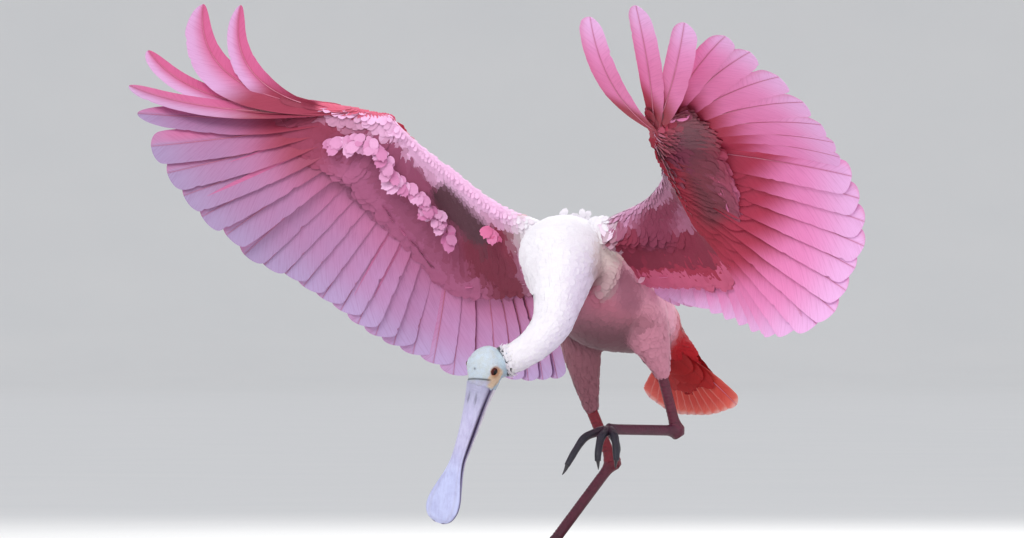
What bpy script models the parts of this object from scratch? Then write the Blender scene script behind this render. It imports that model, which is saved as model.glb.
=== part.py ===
"""A roseate spoonbill in life size, landing on one leg with both wings raised, on a plain round base.

Metres, +Z up. The bird heads towards -Y, its left is +X, and the origin is the centre of the base's underside.
"""

import math

import bmesh
import bpy
from mathutils import Vector

# Common sizes
GAP = 0.0003
VANE_THICKNESS = 0.0009
VANE_SHARES = (0.0, 0.16, 0.38, 0.62, 0.84, 0.955, 1.0)
VANE_TILTS = (0.22, 0.18, 0.13, 0.10, 0.09, 0.09, 0.09)
COVERT_TILTS = (0.08, 0.08, 0.08, 0.08)
VIEW_TURN = math.radians(45)
BASE_RADIUS = 0.135
BASE_HEIGHT = 0.015
SHARP_ANGLE = math.radians(38)


def at(across, deep, up):
    """A point given across, away and up as seen from the bird's left front."""
    return Vector(
        (
            across * math.cos(VIEW_TURN) - deep * math.sin(VIEW_TURN),
            across * math.sin(VIEW_TURN) + deep * math.cos(VIEW_TURN),
            up,
        )
    )


# Meshes
def closed_mesh(name, points, faces):
    """One closed mesh object, its faces turned outwards."""
    shape = bmesh.new()
    corners = [shape.verts.new(point) for point in points]
    for face in faces:
        shape.faces.new([corners[i] for i in face])
    bmesh.ops.recalc_face_normals(shape, faces=shape.faces[:])
    if shape.calc_volume(signed=True) < 0:
        bmesh.ops.reverse_faces(shape, faces=shape.faces[:])
    mesh = bpy.data.meshes.new(name)
    shape.to_mesh(mesh)
    shape.free()
    made = bpy.data.objects.new(name, mesh)
    bpy.context.scene.collection.objects.link(made)
    return made


def loft(name, rings):
    """A closed skin over rings of the same number of points, with both ends capped."""
    sides = len(rings[0])
    points = [point for ring in rings for point in ring]
    faces = []
    for row in range(len(rings) - 1):
        for side in range(sides):
            a = row * sides + side
            b = row * sides + (side + 1) % sides
            faces.append((a, b, b + sides))
            faces.append((a, b + sides, a + sides))
    for row in (0, len(rings) - 1):
        middle = len(points)
        points.append(sum(rings[row], Vector()) / sides)
        for side in range(sides):
            faces.append((row * sides + side, row * sides + (side + 1) % sides, middle))
    return closed_mesh(name, points, faces)


def smooth(rows, steps):
    """Rows of numbers along a smooth curve through the given rows."""
    rows = [tuple(row) for row in rows]
    ends = [rows[0]] + rows + [rows[-1]]
    found = []
    for i in range(1, len(ends) - 2):
        for step in range(steps):
            t = step / steps
            weights = (
                -0.5 * t + t * t - 0.5 * t**3,
                1 - 2.5 * t * t + 1.5 * t**3,
                0.5 * t + 2 * t * t - 1.5 * t**3,
                -0.5 * t * t + 0.5 * t**3,
            )
            near = ends[i - 1 : i + 3]
            found.append(tuple(sum(w * row[k] for w, row in zip(weights, near)) for k in range(len(rows[0]))))
    found.append(rows[-1])
    return found


def oval(centre, left, up, half_width, half_height, sides, turn=0.0):
    """A ring of points round a centre."""
    found = []
    for i in range(sides):
        angle = turn + 2 * math.pi * i / sides
        found.append(centre + left * (half_width * math.cos(angle)) + up * (half_height * math.sin(angle)))
    return found


def square_to(direction, side):
    """The side vector made square to the direction, and the one square to both."""
    direction = direction.normalized()
    left = (side - direction * side.dot(direction)).normalized()
    return left, direction.cross(left).normalized()


def tube(name, rows, sides, side=Vector((1, 0, 0))):
    """A limb through rows of x, y, z, half width and half height."""
    rings = []
    for i, row in enumerate(rows):
        before = Vector(rows[max(i - 1, 0)][:3])
        after = Vector(rows[min(i + 1, len(rows) - 1)][:3])
        left, up = square_to(after - before, side)
        rings.append(oval(Vector(row[:3]), left, up, row[3], row[4], sides))
    return loft(name, rings)


def ball(name, centre, radius, rows=8, sides=14, scale=(1, 1, 1)):
    """A sphere or an egg shape along the axes."""
    rings = []
    for i in range(1, rows):
        angle = math.pi * i / rows
        across = radius * math.sin(angle)
        height = centre + Vector((0, 0, -radius * math.cos(angle) * scale[2]))
        rings.append(
            oval(height, Vector((1, 0, 0)), Vector((0, 1, 0)), across * scale[0], across * scale[1], sides)
        )
    return loft(name, rings)


# Joining and cutting
def apply_all(target):
    """The target's mesh with its modifiers made real."""
    graph = bpy.context.evaluated_depsgraph_get()
    made = bpy.data.meshes.new_from_object(target.evaluated_get(graph))
    target.modifiers.clear()
    target.data = made


def largest_body(target):
    """Keeps the largest closed surface, all in triangles."""
    shape = bmesh.new()
    shape.from_mesh(target.data)
    bmesh.ops.remove_doubles(shape, verts=shape.verts[:], dist=2e-7)
    bmesh.ops.triangulate(shape, faces=shape.faces[:])
    shape.verts.index_update()
    seen = set()
    bodies = []
    for start in shape.verts:
        if start in seen:
            continue
        seen.add(start)
        reach = [start]
        for vertex in reach:
            for edge in vertex.link_edges:
                other = edge.other_vert(vertex)
                if other not in seen:
                    seen.add(other)
                    reach.append(other)
        bodies.append(reach)
    bodies.sort(key=lambda body: spread(body))
    bmesh.ops.delete(shape, geom=[v for body in bodies[:-1] for v in body], context="VERTS")
    shape.to_mesh(target.data)
    shape.free()


def spread(vertices):
    """The diagonal of a set of vertices."""
    lows = [min(v.co[k] for v in vertices) for k in range(3)]
    highs = [max(v.co[k] for v in vertices) for k in range(3)]
    return math.dist(lows, highs)


def union(name, pieces, solver="EXACT"):
    """Joins closed pieces into one body."""
    body = pieces[0]
    if len(pieces) > 1:
        group = bpy.data.collections.new(name + "_pieces")
        bpy.context.scene.collection.children.link(group)
        for piece in pieces[1:]:
            group.objects.link(piece)
        joined = body.modifiers.new("Join", "BOOLEAN")
        joined.operation = "UNION"
        joined.operand_type = "COLLECTION"
        joined.collection = group
        joined.solver = solver
        apply_all(body)
        for piece in pieces[1:]:
            bpy.data.objects.remove(piece)
        bpy.data.collections.remove(group)
    largest_body(body)
    body.name = name
    return body


def grown(other, gap):
    """A copy of a body, its surface moved out by the gap."""
    shape = bmesh.new()
    shape.from_mesh(other.data)
    moves = [(v, v.normal * gap * min(v.calc_shell_factor(), 2.5)) for v in shape.verts]
    for vertex, move in moves:
        vertex.co += move
    mesh = bpy.data.meshes.new("grown")
    shape.to_mesh(mesh)
    shape.free()
    made = bpy.data.objects.new("grown", mesh)
    bpy.context.scene.collection.objects.link(made)
    return made


def cut(body, cutter, solver="EXACT"):
    """Takes the cutter out of the body and removes the cutter."""
    taken = body.modifiers.new("Cut", "BOOLEAN")
    taken.operation = "DIFFERENCE"
    taken.object = cutter
    taken.solver = solver
    apply_all(body)
    bpy.data.objects.remove(cutter)
    largest_body(body)


def clear_of(body, others, solver="EXACT"):
    """Cuts a body back until it stands clear of its neighbours."""
    for other in others:
        cut(body, grown(other, GAP), solver)


# Torso and neck: x, y, z, half width, half height
TORSO = (
    (0.000, 0.152, 0.262, 0.024, 0.022),
    (0.000, 0.126, 0.277, 0.040, 0.036),
    (0.000, 0.092, 0.293, 0.055, 0.053),
    (0.000, 0.052, 0.312, 0.063, 0.065),
    (0.000, 0.016, 0.334, 0.064, 0.064),
    (0.003, -0.012, 0.352, 0.060, 0.055),
    (0.013, -0.034, 0.356, 0.052, 0.047),
)
NECK_LOWER = (
    (0.013, -0.034, 0.356, 0.052, 0.047),
    (0.024, -0.047, 0.342, 0.045, 0.041),
    (0.034, -0.059, 0.322, 0.036, 0.034),
    (0.042, -0.072, 0.300, 0.0285, 0.0275),
)
NECK_UPPER = (
    (0.042, -0.072, 0.300, 0.0285, 0.0275),
    (0.0448, -0.086, 0.277, 0.0240, 0.0235),
    (0.038, -0.104, 0.2565, 0.0205, 0.0205),
    (0.0257, -0.121, 0.2425, 0.0185, 0.0185),
    (0.0150, -0.132, 0.2365, 0.0178, 0.0178),
)
SPINE_SIDES = 18


def spine_rings():
    """Rings of the torso and of both parts of the neck, which share a ring at each joint."""
    rows = list(TORSO) + list(NECK_LOWER[1:]) + list(NECK_UPPER[1:])
    fine = smooth(rows, 2)
    left = Vector((1, 0, 0))
    rings = []
    normals = []
    for i, row in enumerate(fine):
        before = Vector(fine[max(i - 1, 0)][:3])
        after = Vector(fine[min(i + 1, len(fine) - 1)][:3])
        left, up = square_to(after - before, left)
        normals.append((after - before).normalized())
        rings.append(oval(Vector(row[:3]), left, up, row[3], row[4], SPINE_SIDES))
    return rings, normals


def shifted(ring, direction, by):
    """A ring moved along a direction."""
    return [point + direction * by for point in ring]


def build_spine():
    """Torso, lower neck and upper neck, end to end with a gap at each joint."""
    rings, normals = spine_rings()
    first = 2 * (len(TORSO) - 1)
    second = first + 2 * (len(NECK_LOWER) - 1)
    torso = loft("torso", rings[: first + 1])
    lower = [shifted(rings[first], normals[first], GAP)] + rings[first + 1 : second + 1]
    neck_lower = loft("neck_lower", lower)
    upper = [shifted(rings[second], normals[second], GAP)] + rings[second + 1 :]
    neck_upper = loft("neck_upper", upper)
    return torso, neck_lower, neck_upper


# Head: its middle, the way the bill points, and the crown's direction
HEAD_MIDDLE = at(-0.1027, -0.107, 0.2302)
BILL_WAY = at(-0.306, 0.0, -0.952).normalized()
CROWN_SIDE = at(-0.52, -0.84, 0.161)
HEAD_LEFT = CROWN_SIDE.cross(BILL_WAY).normalized()
HEAD_UP = BILL_WAY.cross(HEAD_LEFT).normalized()
EYE_RADIUS = 0.0046
EYE_FORWARD = 0.0012
EYE_UP = 0.0075
EYE_OUT = 0.0152
HEAD_END = 0.0235

# Along the bill's way from the middle of the head: distance, height, half width, half height
SKULL = (
    (-0.0250, -0.0020, 0.0050, 0.0050),
    (-0.0215, -0.0015, 0.0115, 0.0110),
    (-0.0150, -0.0005, 0.0175, 0.0165),
    (-0.0070, 0.0000, 0.0208, 0.0198),
    (0.0010, 0.0000, 0.0215, 0.0202),
    (0.0090, -0.0018, 0.0200, 0.0200),
    (0.0165, -0.0038, 0.0178, 0.0186),
    (0.0235, -0.0045, 0.0163, 0.0168),
)
# Distance, height of the top, half width, thickness, opening of the mouth, thickness of the lower half
BILL = (
    (0.0238, 0.0110, 0.0152, 0.0130, 0.0003, 0.0150),
    (0.0330, 0.0088, 0.0138, 0.0110, 0.0010, 0.0136),
    (0.0480, 0.0060, 0.0116, 0.0085, 0.0036, 0.0116),
    (0.0700, 0.0030, 0.0096, 0.0062, 0.0062, 0.0094),
    (0.0920, 0.0015, 0.0084, 0.0050, 0.0060, 0.0076),
    (0.1100, 0.0008, 0.0084, 0.0042, 0.0044, 0.0062),
    (0.1260, 0.0005, 0.0114, 0.0038, 0.0030, 0.0050),
    (0.1420, 0.0003, 0.0168, 0.0035, 0.0018, 0.0044),
    (0.1560, 0.0000, 0.0212, 0.0034, 0.0012, 0.0038),
    (0.1670, -0.0004, 0.0222, 0.0032, 0.0008, 0.0034),
    (0.1760, -0.0012, 0.0196, 0.0030, 0.0005, 0.0030),
    (0.1820, -0.0024, 0.0142, 0.0028, 0.0004, 0.0028),
    (0.1856, -0.0036, 0.0060, 0.0026, 0.0004, 0.0024),
)


def head_point(forward, left, up):
    """A point in the head's own directions."""
    return HEAD_MIDDLE + BILL_WAY * forward + HEAD_LEFT * left + HEAD_UP * up


def build_head(neck_upper):
    """Skull, nape, lids and face, with the sockets of the eyes."""
    skull = loft(
        "skull",
        [oval(head_point(f, 0, up), HEAD_LEFT, HEAD_UP, wide, high, 20) for f, up, wide, high in SKULL],
    )
    rings, normals = spine_rings()
    last = Vector(NECK_UPPER[-1][:3])
    way = (HEAD_MIDDLE - last).normalized()
    nape = [shifted(rings[-1], normals[-1], GAP)]
    left, up = square_to(normals[-1], Vector((1, 0, 0)))
    for share, wide in ((0.45, 0.0176), (0.8, 0.0150)):
        nape.append(oval(last.lerp(HEAD_MIDDLE, share) + normals[-1] * GAP, left, up, wide, wide, SPINE_SIDES))
    pieces = [skull, loft("nape", nape)]
    for side in (1, -1):
        lid = ball("lid", head_point(EYE_FORWARD, side * EYE_OUT, EYE_UP), EYE_RADIUS + 0.0014, 6, 12)
        pieces.append(lid)
    head = union("head", pieces)
    for side in (1, -1):
        socket = ball("socket", head_point(EYE_FORWARD, side * (EYE_OUT + 0.0012), EYE_UP), EYE_RADIUS + GAP, 6, 12)
        cut(head, socket)
    return head


def build_eyes():
    """Both eyes, each a ball in its socket."""
    for name, side in (("eye_left", 1), ("eye_right", -1)):
        ball(name, head_point(EYE_FORWARD, side * (EYE_OUT + 0.0012), EYE_UP), EYE_RADIUS, 6, 12)


def bill_ring(forward, top, wide, thick, lower):
    """A flat-sided section of one half of the bill."""
    found = []
    base = top - thick
    shape = (
        (1.00, 0.00),
        (0.97, 0.45),
        (0.80, 0.80),
        (0.45, 0.97),
        (0.00, 1.00),
        (-0.45, 0.97),
        (-0.80, 0.80),
        (-0.97, 0.45),
        (-1.00, 0.00),
        (-0.50, 0.00),
        (0.00, 0.00),
        (0.50, 0.00),
    )
    for across, height in shape:
        if lower:
            found.append(head_point(forward, across * wide, base - height * thick))
        else:
            found.append(head_point(forward, across * wide, base + height * thick))
    return found


def build_bill():
    """Upper and lower half of the bill, with the mouth's gap between them."""
    rows = smooth(BILL, 2)
    upper = loft("bill_upper", [bill_ring(*row[:4], lower=False) for row in rows])
    rings = []
    for forward, top, wide, thick, mouth, below in rows:
        rings.append(bill_ring(forward, top - thick - mouth + below, wide * 0.95, below, lower=True))
    loft("bill_lower", rings)
    for side in (1, -1):
        slit = tube(
            "nostril",
            [
                tuple(head_point(0.033, side * 0.0052, 0.0098)) + (0.0006, 0.0010),
                tuple(head_point(0.038, side * 0.0056, 0.0088)) + (0.0010, 0.0012),
                tuple(head_point(0.043, side * 0.0056, 0.0080)) + (0.0006, 0.0010),
            ],
            6,
        )
        cut(upper, slit)
    return upper


# Wings
LEFT_WING = {
    "shoulder": at(0.039, -0.039, 0.385),
    "elbow": at(0.144, -0.116, 0.390),
    "wrist": at(0.092, -0.209, 0.485),
    "hand": at(0.0885, -0.284, 0.5024),
    "lead": (
        at(0.040, -0.022, 0.404),
        at(0.0800, -0.075, 0.4245),
        at(0.099, -0.125, 0.450),
        at(0.0966, -0.170, 0.475),
        at(0.0885, -0.212, 0.496),
    ),
    "rear": (
        at(0.060, -0.010, 0.335),
        at(0.110, -0.055, 0.335),
        at(0.180, -0.135, 0.340),
        at(0.175, -0.190, 0.415),
        at(0.150, -0.225, 0.480),
    ),
    "hand_rear": (at(0.150, -0.225, 0.480), at(0.140, -0.270, 0.500), at(0.116, -0.318, 0.515)),
    "primaries": (
        at(0.300, -0.273, 0.471),
        at(0.292, -0.315, 0.4875),
        at(0.277, -0.362, 0.507),
        at(0.256, -0.408, 0.532),
        at(0.228, -0.448, 0.560),
        at(0.195, -0.480, 0.5875),
        at(0.167, -0.500, 0.605),
        at(0.121, -0.515, 0.6197),
        at(0.067, -0.504, 0.639),
        at(0.016, -0.464, 0.6266),
    ),
    "secondaries": (
        at(0.110, 0.000, 0.303),
        at(0.150, -0.060, 0.298),
        at(0.190, -0.120, 0.288),
        at(0.240, -0.190, 0.272),
        at(0.292, -0.225, 0.292),
        at(0.318, -0.232, 0.345),
        at(0.3276, -0.240, 0.396),
        at(0.314, -0.255, 0.448),
    ),
    "bend": {9: at(0.029, -0.400, 0.541), 8: at(0.087, -0.410, 0.558), 7: at(0.112, -0.420, 0.551)},
    "wider": {9: (0.0055, 0.0)},
    "pad": at(0.031, -0.030, 0.3850),
}
RIGHT_WING = {
    "shoulder": at(-0.039, 0.039, 0.385),
    "elbow": at(-0.130, 0.132, 0.385),
    "wrist": at(-0.209, 0.092, 0.512),
    "hand": at(-0.286, 0.100, 0.530),
    "lead": (
        at(-0.045, 0.030, 0.398),
        at(-0.092, 0.052, 0.4185),
        at(-0.141, 0.070, 0.4565),
        at(-0.1816, 0.080, 0.4886),
        at(-0.210, 0.088, 0.5185),
    ),
    "rear": (
        at(-0.035, 0.060, 0.330),
        at(-0.075, 0.105, 0.325),
        at(-0.145, 0.165, 0.330),
        at(-0.205, 0.135, 0.395),
        at(-0.255, 0.100, 0.455),
    ),
    "hand_rear": (at(-0.255, 0.100, 0.455), at(-0.305, 0.106, 0.480), at(-0.340, 0.118, 0.516)),
    "primaries": (
        at(-0.403, 0.110, 0.382),
        at(-0.431, 0.105, 0.403),
        at(-0.452, 0.108, 0.427),
        at(-0.471, 0.115, 0.453),
        at(-0.490, 0.125, 0.484),
        at(-0.506, 0.140, 0.522),
        at(-0.516, 0.160, 0.554),
        at(-0.495, 0.225, 0.5955),
        at(-0.431, 0.250, 0.6496),
        at(-0.387, 0.220, 0.648),
    ),
    "secondaries": (
        at(-0.020, 0.100, 0.217),
        at(-0.061, 0.150, 0.214),
        at(-0.101, 0.185, 0.216),
        at(-0.141, 0.200, 0.221),
        at(-0.185, 0.205, 0.243),
        at(-0.2425, 0.175, 0.271),
        at(-0.290, 0.155, 0.309),
        at(-0.380, 0.122, 0.361),
    ),
    "bend": {
        9: at(-0.4063, 0.120, 0.5484),
        8: at(-0.4425, 0.135, 0.5427),
        7: at(-0.4425, 0.140, 0.520),
        6: at(-0.431, 0.130, 0.516),
    },
    "wider": {8: (0.0, 0.0090)},
    "pad": at(-0.031, 0.030, 0.3750),
}
PRIMARY_WIDTHS = (0.031, 0.031, 0.031, 0.031, 0.031, 0.031, 0.030, 0.029, 0.029, 0.027)
# Width along a feather from its root to its tip
BROAD_SHAPE = (0.28, 0.55, 0.85, 1.00, 1.00, 0.86, 0.40)
FINGER_SHAPE = (0.32, 0.60, 0.92, 1.00, 0.90, 0.66, 0.26)
COVERT_SHAPE = (0.55, 0.95, 0.95, 0.45)


def along(points, share):
    """The point at a share of a smooth curve's length."""
    fine = [Vector(row) for row in smooth([tuple(p) for p in points], 12)]
    lengths = [0.0]
    for a, b in zip(fine, fine[1:]):
        lengths.append(lengths[-1] + (b - a).length)
    target = share * lengths[-1]
    for i in range(len(fine) - 1):
        if lengths[i + 1] >= target:
            part = (target - lengths[i]) / max(lengths[i + 1] - lengths[i], 1e-9)
            return fine[i].lerp(fine[i + 1], part)
    return fine[-1]


def bow(root, middle, tip, t):
    """A point of a bent shaft."""
    return root * (1 - t) ** 2 + middle * (2 * t * (1 - t)) + tip * t**2


def wing_fan(roots, tips, middles, side, bulge=0.10):
    """Curves, upward normals and trailing directions of a row of feathers."""
    curves = []
    normals = []
    trails = []
    count = len(roots)
    for i in range(count):
        root, tip = roots[i], tips[i]
        inner = tips[max(i - 1, 0)]
        outer = tips[min(i + 1, count - 1)]
        trailing = (inner - outer).normalized()
        normal = (tip - root).normalized().cross(trailing).normalized() * side
        middle = middles.get(i)
        if middle is None:
            middle = root.lerp(tip, 0.5) + normal * ((tip - root).length * bulge)
        curves.append([bow(root, middle, tip, share) for share in VANE_SHARES])
        normals.append(normal)
        trails.append(trailing)
    return curves, normals, trails


def vane(curve, trailing, side, leading_width, trailing_width, shape, tilts=VANE_TILTS, shift=0.0):
    """One feather: a thin curved blade whose leading edge lies higher than its trailing edge."""
    rings = []
    last = len(curve) - 1
    for j, point in enumerate(curve):
        way = (curve[min(j + 1, last)] - curve[max(j - 1, 0)]).normalized()
        back = (trailing - way * trailing.dot(way)).normalized()
        normal = way.cross(back).normalized() * side
        wide = shape[j]
        tilt = tilts[j]
        middle = point + normal * shift
        front = middle - back * (leading_width * wide) + normal * (leading_width * wide * tilt)
        rear = middle + back * (trailing_width * wide) - normal * (trailing_width * wide * tilt)
        up = normal * (VANE_THICKNESS / 2)
        rings.append([front + up, rear + up, rear - up, front - up])
    points = [point for ring in rings for point in ring]
    faces = [(0, 1, 2), (0, 2, 3)]
    for row in range(last):
        a = 4 * row
        b = a + 4
        faces += [(a, a + 1, b + 1), (a, b + 1, b)]
        faces += [(a + 3, a + 2, b + 2), (a + 3, b + 2, b + 3)]
        faces += [(a + 1, a + 2, b + 2), (a + 1, b + 2, b + 1)]
        faces += [(a + 3, a, b), (a + 3, b, b + 3)]
    end = 4 * last
    faces += [(end, end + 1, end + 2), (end, end + 2, end + 3)]
    return closed_mesh("vane", points, faces)


def covert(curve, trailing, side, start, end, width, lift):
    """A short vane lying on the flight feathers, above them or, with a lift below zero, under them."""
    fine = [curve_point(curve, start + (end - start) * j / 3) for j in range(4)]
    way = (fine[-1] - fine[0]).normalized()
    back = (trailing - way * trailing.dot(way)).normalized()
    normal = way.cross(back).normalized() * side
    fine = [point + normal * (lift * (0.35 + 0.65 * j / 3)) for j, point in enumerate(fine)]
    return vane(fine, trailing, side, width / 2, width / 2, COVERT_SHAPE, COVERT_TILTS)


def curve_point(curve, share):
    """The point at a share of a feather's curve."""
    i = 0
    while i < len(VANE_SHARES) - 2 and VANE_SHARES[i + 1] < share:
        i += 1
    part = (share - VANE_SHARES[i]) / (VANE_SHARES[i + 1] - VANE_SHARES[i])
    return curve[i].lerp(curve[i + 1], part)


def arm_section(lead, bone, rear, normal, thick, rear_thick):
    """A closed section of the fleshy wing from its leading edge past the bone to the coverts."""
    front = (bone - lead).normalized()
    return [
        lead,
        lead + front * 0.004 + normal * thick * 0.25,
        lead.lerp(bone, 0.6) + normal * thick * 0.40,
        bone + normal * thick * 0.5,
        bone.lerp(rear, 0.5) + normal * (thick + rear_thick) * 0.25,
        rear + normal * rear_thick * 0.5,
        rear - normal * rear_thick * 0.5,
        bone.lerp(rear, 0.5) - normal * (thick + rear_thick) * 0.25,
        bone - normal * thick * 0.5,
        lead.lerp(bone, 0.6) - normal * thick * 0.40,
        lead + front * 0.004 - normal * thick * 0.25,
    ]


def build_wing(name, wing, side, torso):
    """One wing as an arm and a hand."""
    shoulder, elbow, wrist, hand = (wing[k] for k in ("shoulder", "elbow", "wrist", "hand"))
    bones = [shoulder, shoulder.lerp(elbow, 0.5), elbow, elbow.lerp(wrist, 0.5), wrist]
    thick = (0.030, 0.024, 0.020, 0.017, 0.014)
    sections = []
    for i in range(5):
        lead, rear = wing["lead"][i], wing["rear"][i]
        span = (bones[min(i + 1, 4)] - bones[max(i - 1, 0)]).normalized()
        normal = span.cross((rear - lead).normalized()).normalized() * side
        sections.append(arm_section(lead, bones[i], rear, normal, thick[i], 0.005))
    arm = loft("arm", sections)
    count = 18
    tips = [along(wing["secondaries"], k / (count - 1)) for k in range(count)]
    root_line = [shoulder.lerp(elbow, 0.45), elbow, wrist.lerp(elbow, 0.04)]
    roots = [along(root_line, k / (count - 1)) for k in range(count)]
    curves, normals, trails = wing_fan(roots, tips, {}, side)
    pieces = [arm, ball("pad", wing["pad"], 0.0185, 6, 12)]
    for i in range(count):
        pieces.append(vane(curves[i], trails[i], side, 0.0135, 0.0175, BROAD_SHAPE))
    for i in range(0, count, 2):
        for lift in (0.0042, -0.0042):
            pieces.append(covert(curves[i], trails[i], side, 0.12, 0.46, 0.030, lift))
    arm = union("wing_arm_" + name, pieces, "MANIFOLD")
    clear_of(arm, [torso], "MANIFOLD")
    span = (hand - wrist).normalized()
    sections = []
    for i, share in enumerate((0.02, 0.5, 1.0)):
        bone = wrist.lerp(hand, share)
        rear = wing["hand_rear"][i]
        lead = wing["lead"][4].lerp(hand, share)
        normal = span.cross((rear - bone).normalized()).normalized() * side
        lead = lead + (bone - rear).normalized() * (0.004 + 0.002 * share)
        sections.append(arm_section(lead, bone, rear, normal, (0.013, 0.011, 0.007)[i], 0.004))
    palm = loft("palm", sections)
    tips = list(wing["primaries"])
    roots = [wrist.lerp(hand, 0.06 + 0.9 * k / 9) for k in range(10)]
    curves, normals, trails = wing_fan(roots, tips, wing["bend"], side)
    pieces = [palm]
    for i in range(10):
        wide = PRIMARY_WIDTHS[i]
        front, rear = wing["wider"].get(i, (0.0, 0.0))
        front += wide * 0.42
        rear += wide * 0.58
        shape = FINGER_SHAPE if i >= 5 else BROAD_SHAPE
        pieces.append(vane(curves[i], trails[i], side, front, rear, shape, VANE_TILTS, -0.0016))
    for i in range(0, 10, 2):
        for lift in (0.0026, -0.0058):
            pieces.append(covert(curves[i], trails[i], side, 0.08, 0.40, 0.028, lift))
    palm = union("wing_hand_" + name, pieces, "MANIFOLD")
    clear_of(palm, [arm], "MANIFOLD")


# Tail
TAIL_BODY = (
    (0.000, 0.1523, 0.262, 0.024, 0.022),
    (0.000, 0.166, 0.245, 0.030, 0.017),
    (0.000, 0.177, 0.222, 0.036, 0.010),
    (0.000, 0.184, 0.203, 0.034, 0.0035),
)
TAIL_TIPS = (at(0.087, 0.186, 0.194), at(0.112, 0.163, 0.177), at(0.137, 0.137, 0.174), at(0.163, 0.112, 0.176), at(0.187, 0.088, 0.186))


def build_tail():
    """The tail's coverts as a body, with the fan out of it."""
    rows = [list(row) for row in smooth(TAIL_BODY, 2)]
    rings, normals = spine_rings()
    first = [shifted(rings[0], normals[0], -GAP)]
    for i, row in enumerate(rows[1:], 1):
        before = Vector(rows[i - 1][:3])
        after = Vector(rows[min(i + 1, len(rows) - 1)][:3])
        left, up = square_to(before - after, Vector((1, 0, 0)))
        first.append(oval(Vector(row[:3]), left, up, row[3], row[4], SPINE_SIDES))
    body = loft("coverts", first)
    tips = [along(TAIL_TIPS, k / 11) for k in range(12)]
    roots = [Vector((-0.016 + 0.032 * k / 11, 0.166, 0.240)) for k in range(12)]
    curves, normals, trails = wing_fan(roots, tips, {}, 1, 0.04)
    pieces = [body]
    for i in range(12):
        pieces.append(vane(curves[i], trails[i], 1, 0.0100, 0.0110, BROAD_SHAPE))
    return union("tail", pieces, "MANIFOLD")


# Legs
THIGH_LEFT = (
    (0.034, 0.062, 0.300, 0.030, 0.038),
    (0.044, 0.074, 0.268, 0.024, 0.029),
    (0.048, 0.085, 0.243, 0.0165, 0.019),
    (0.050, 0.093, 0.2185, 0.0095, 0.0100),
)
THIGH_RIGHT = (
    (-0.034, 0.045, 0.290, 0.030, 0.036),
    (-0.040, 0.052, 0.250, 0.024, 0.026),
    (-0.041, 0.060, 0.213, 0.0165, 0.0175),
    (-0.040, 0.0676, 0.1795, 0.0095, 0.0100),
)
SHANK_LEFT = ((0.050, 0.093, 0.2185), (0.0545, 0.111, 0.1565))
SHANK_RIGHT = ((-0.040, 0.0676, 0.1795), (-0.0186, 0.0804, 0.1197))
FOOT_LEFT = (0.056, -0.001, 0.1588)
FOOT_RIGHT = (-0.043, 0.006, 0.0265)
SHANK_RADIUS = 0.0056
TARSUS_RADIUS = 0.0052
ANKLE_RADIUS = 0.0080
TOE_RADIUS = 0.0036
TOES_LEFT = (
    (at(0.039, -0.040, 0.1588), at(0.012, -0.062, 0.150), at(-0.006, -0.080, 0.124), at(-0.015, -0.086, 0.107)),
    (at(0.039, -0.040, 0.1588), at(0.030, -0.068, 0.150), at(0.026, -0.084, 0.130), at(0.0264, -0.088, 0.1128)),
    (at(0.039, -0.040, 0.1588), at(0.045, -0.066, 0.150), at(0.047, -0.080, 0.130), at(0.046, -0.082, 0.114)),
    (at(0.039, -0.040, 0.1588), at(0.046, -0.034, 0.146), at(0.048, -0.036, 0.134), at(0.046, -0.040, 0.122)),
)
TOES_RIGHT = (
    ((-0.043, 0.006, 0.0265), (-0.047, -0.020, 0.0200), (-0.049, -0.055, 0.0192), (-0.050, -0.088, 0.0185)),
    ((-0.043, 0.006, 0.0265), (-0.030, -0.016, 0.0200), (-0.014, -0.038, 0.0192), (-0.003, -0.062, 0.0185)),
    ((-0.043, 0.006, 0.0265), (-0.062, -0.014, 0.0200), (-0.080, -0.034, 0.0192), (-0.094, -0.056, 0.0185)),
    ((-0.043, 0.006, 0.0265), (-0.040, 0.018, 0.0200), (-0.037, 0.032, 0.0192), (-0.035, 0.046, 0.0185)),
)


def straight(start, end, sizes, sides, name):
    """A straight limb with the given radii from start to end."""
    rows = []
    for share, radius in sizes:
        point = Vector(start).lerp(Vector(end), share)
        rows.append(tuple(point) + (radius, radius))
    return tube(name, rows, sides)


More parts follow.
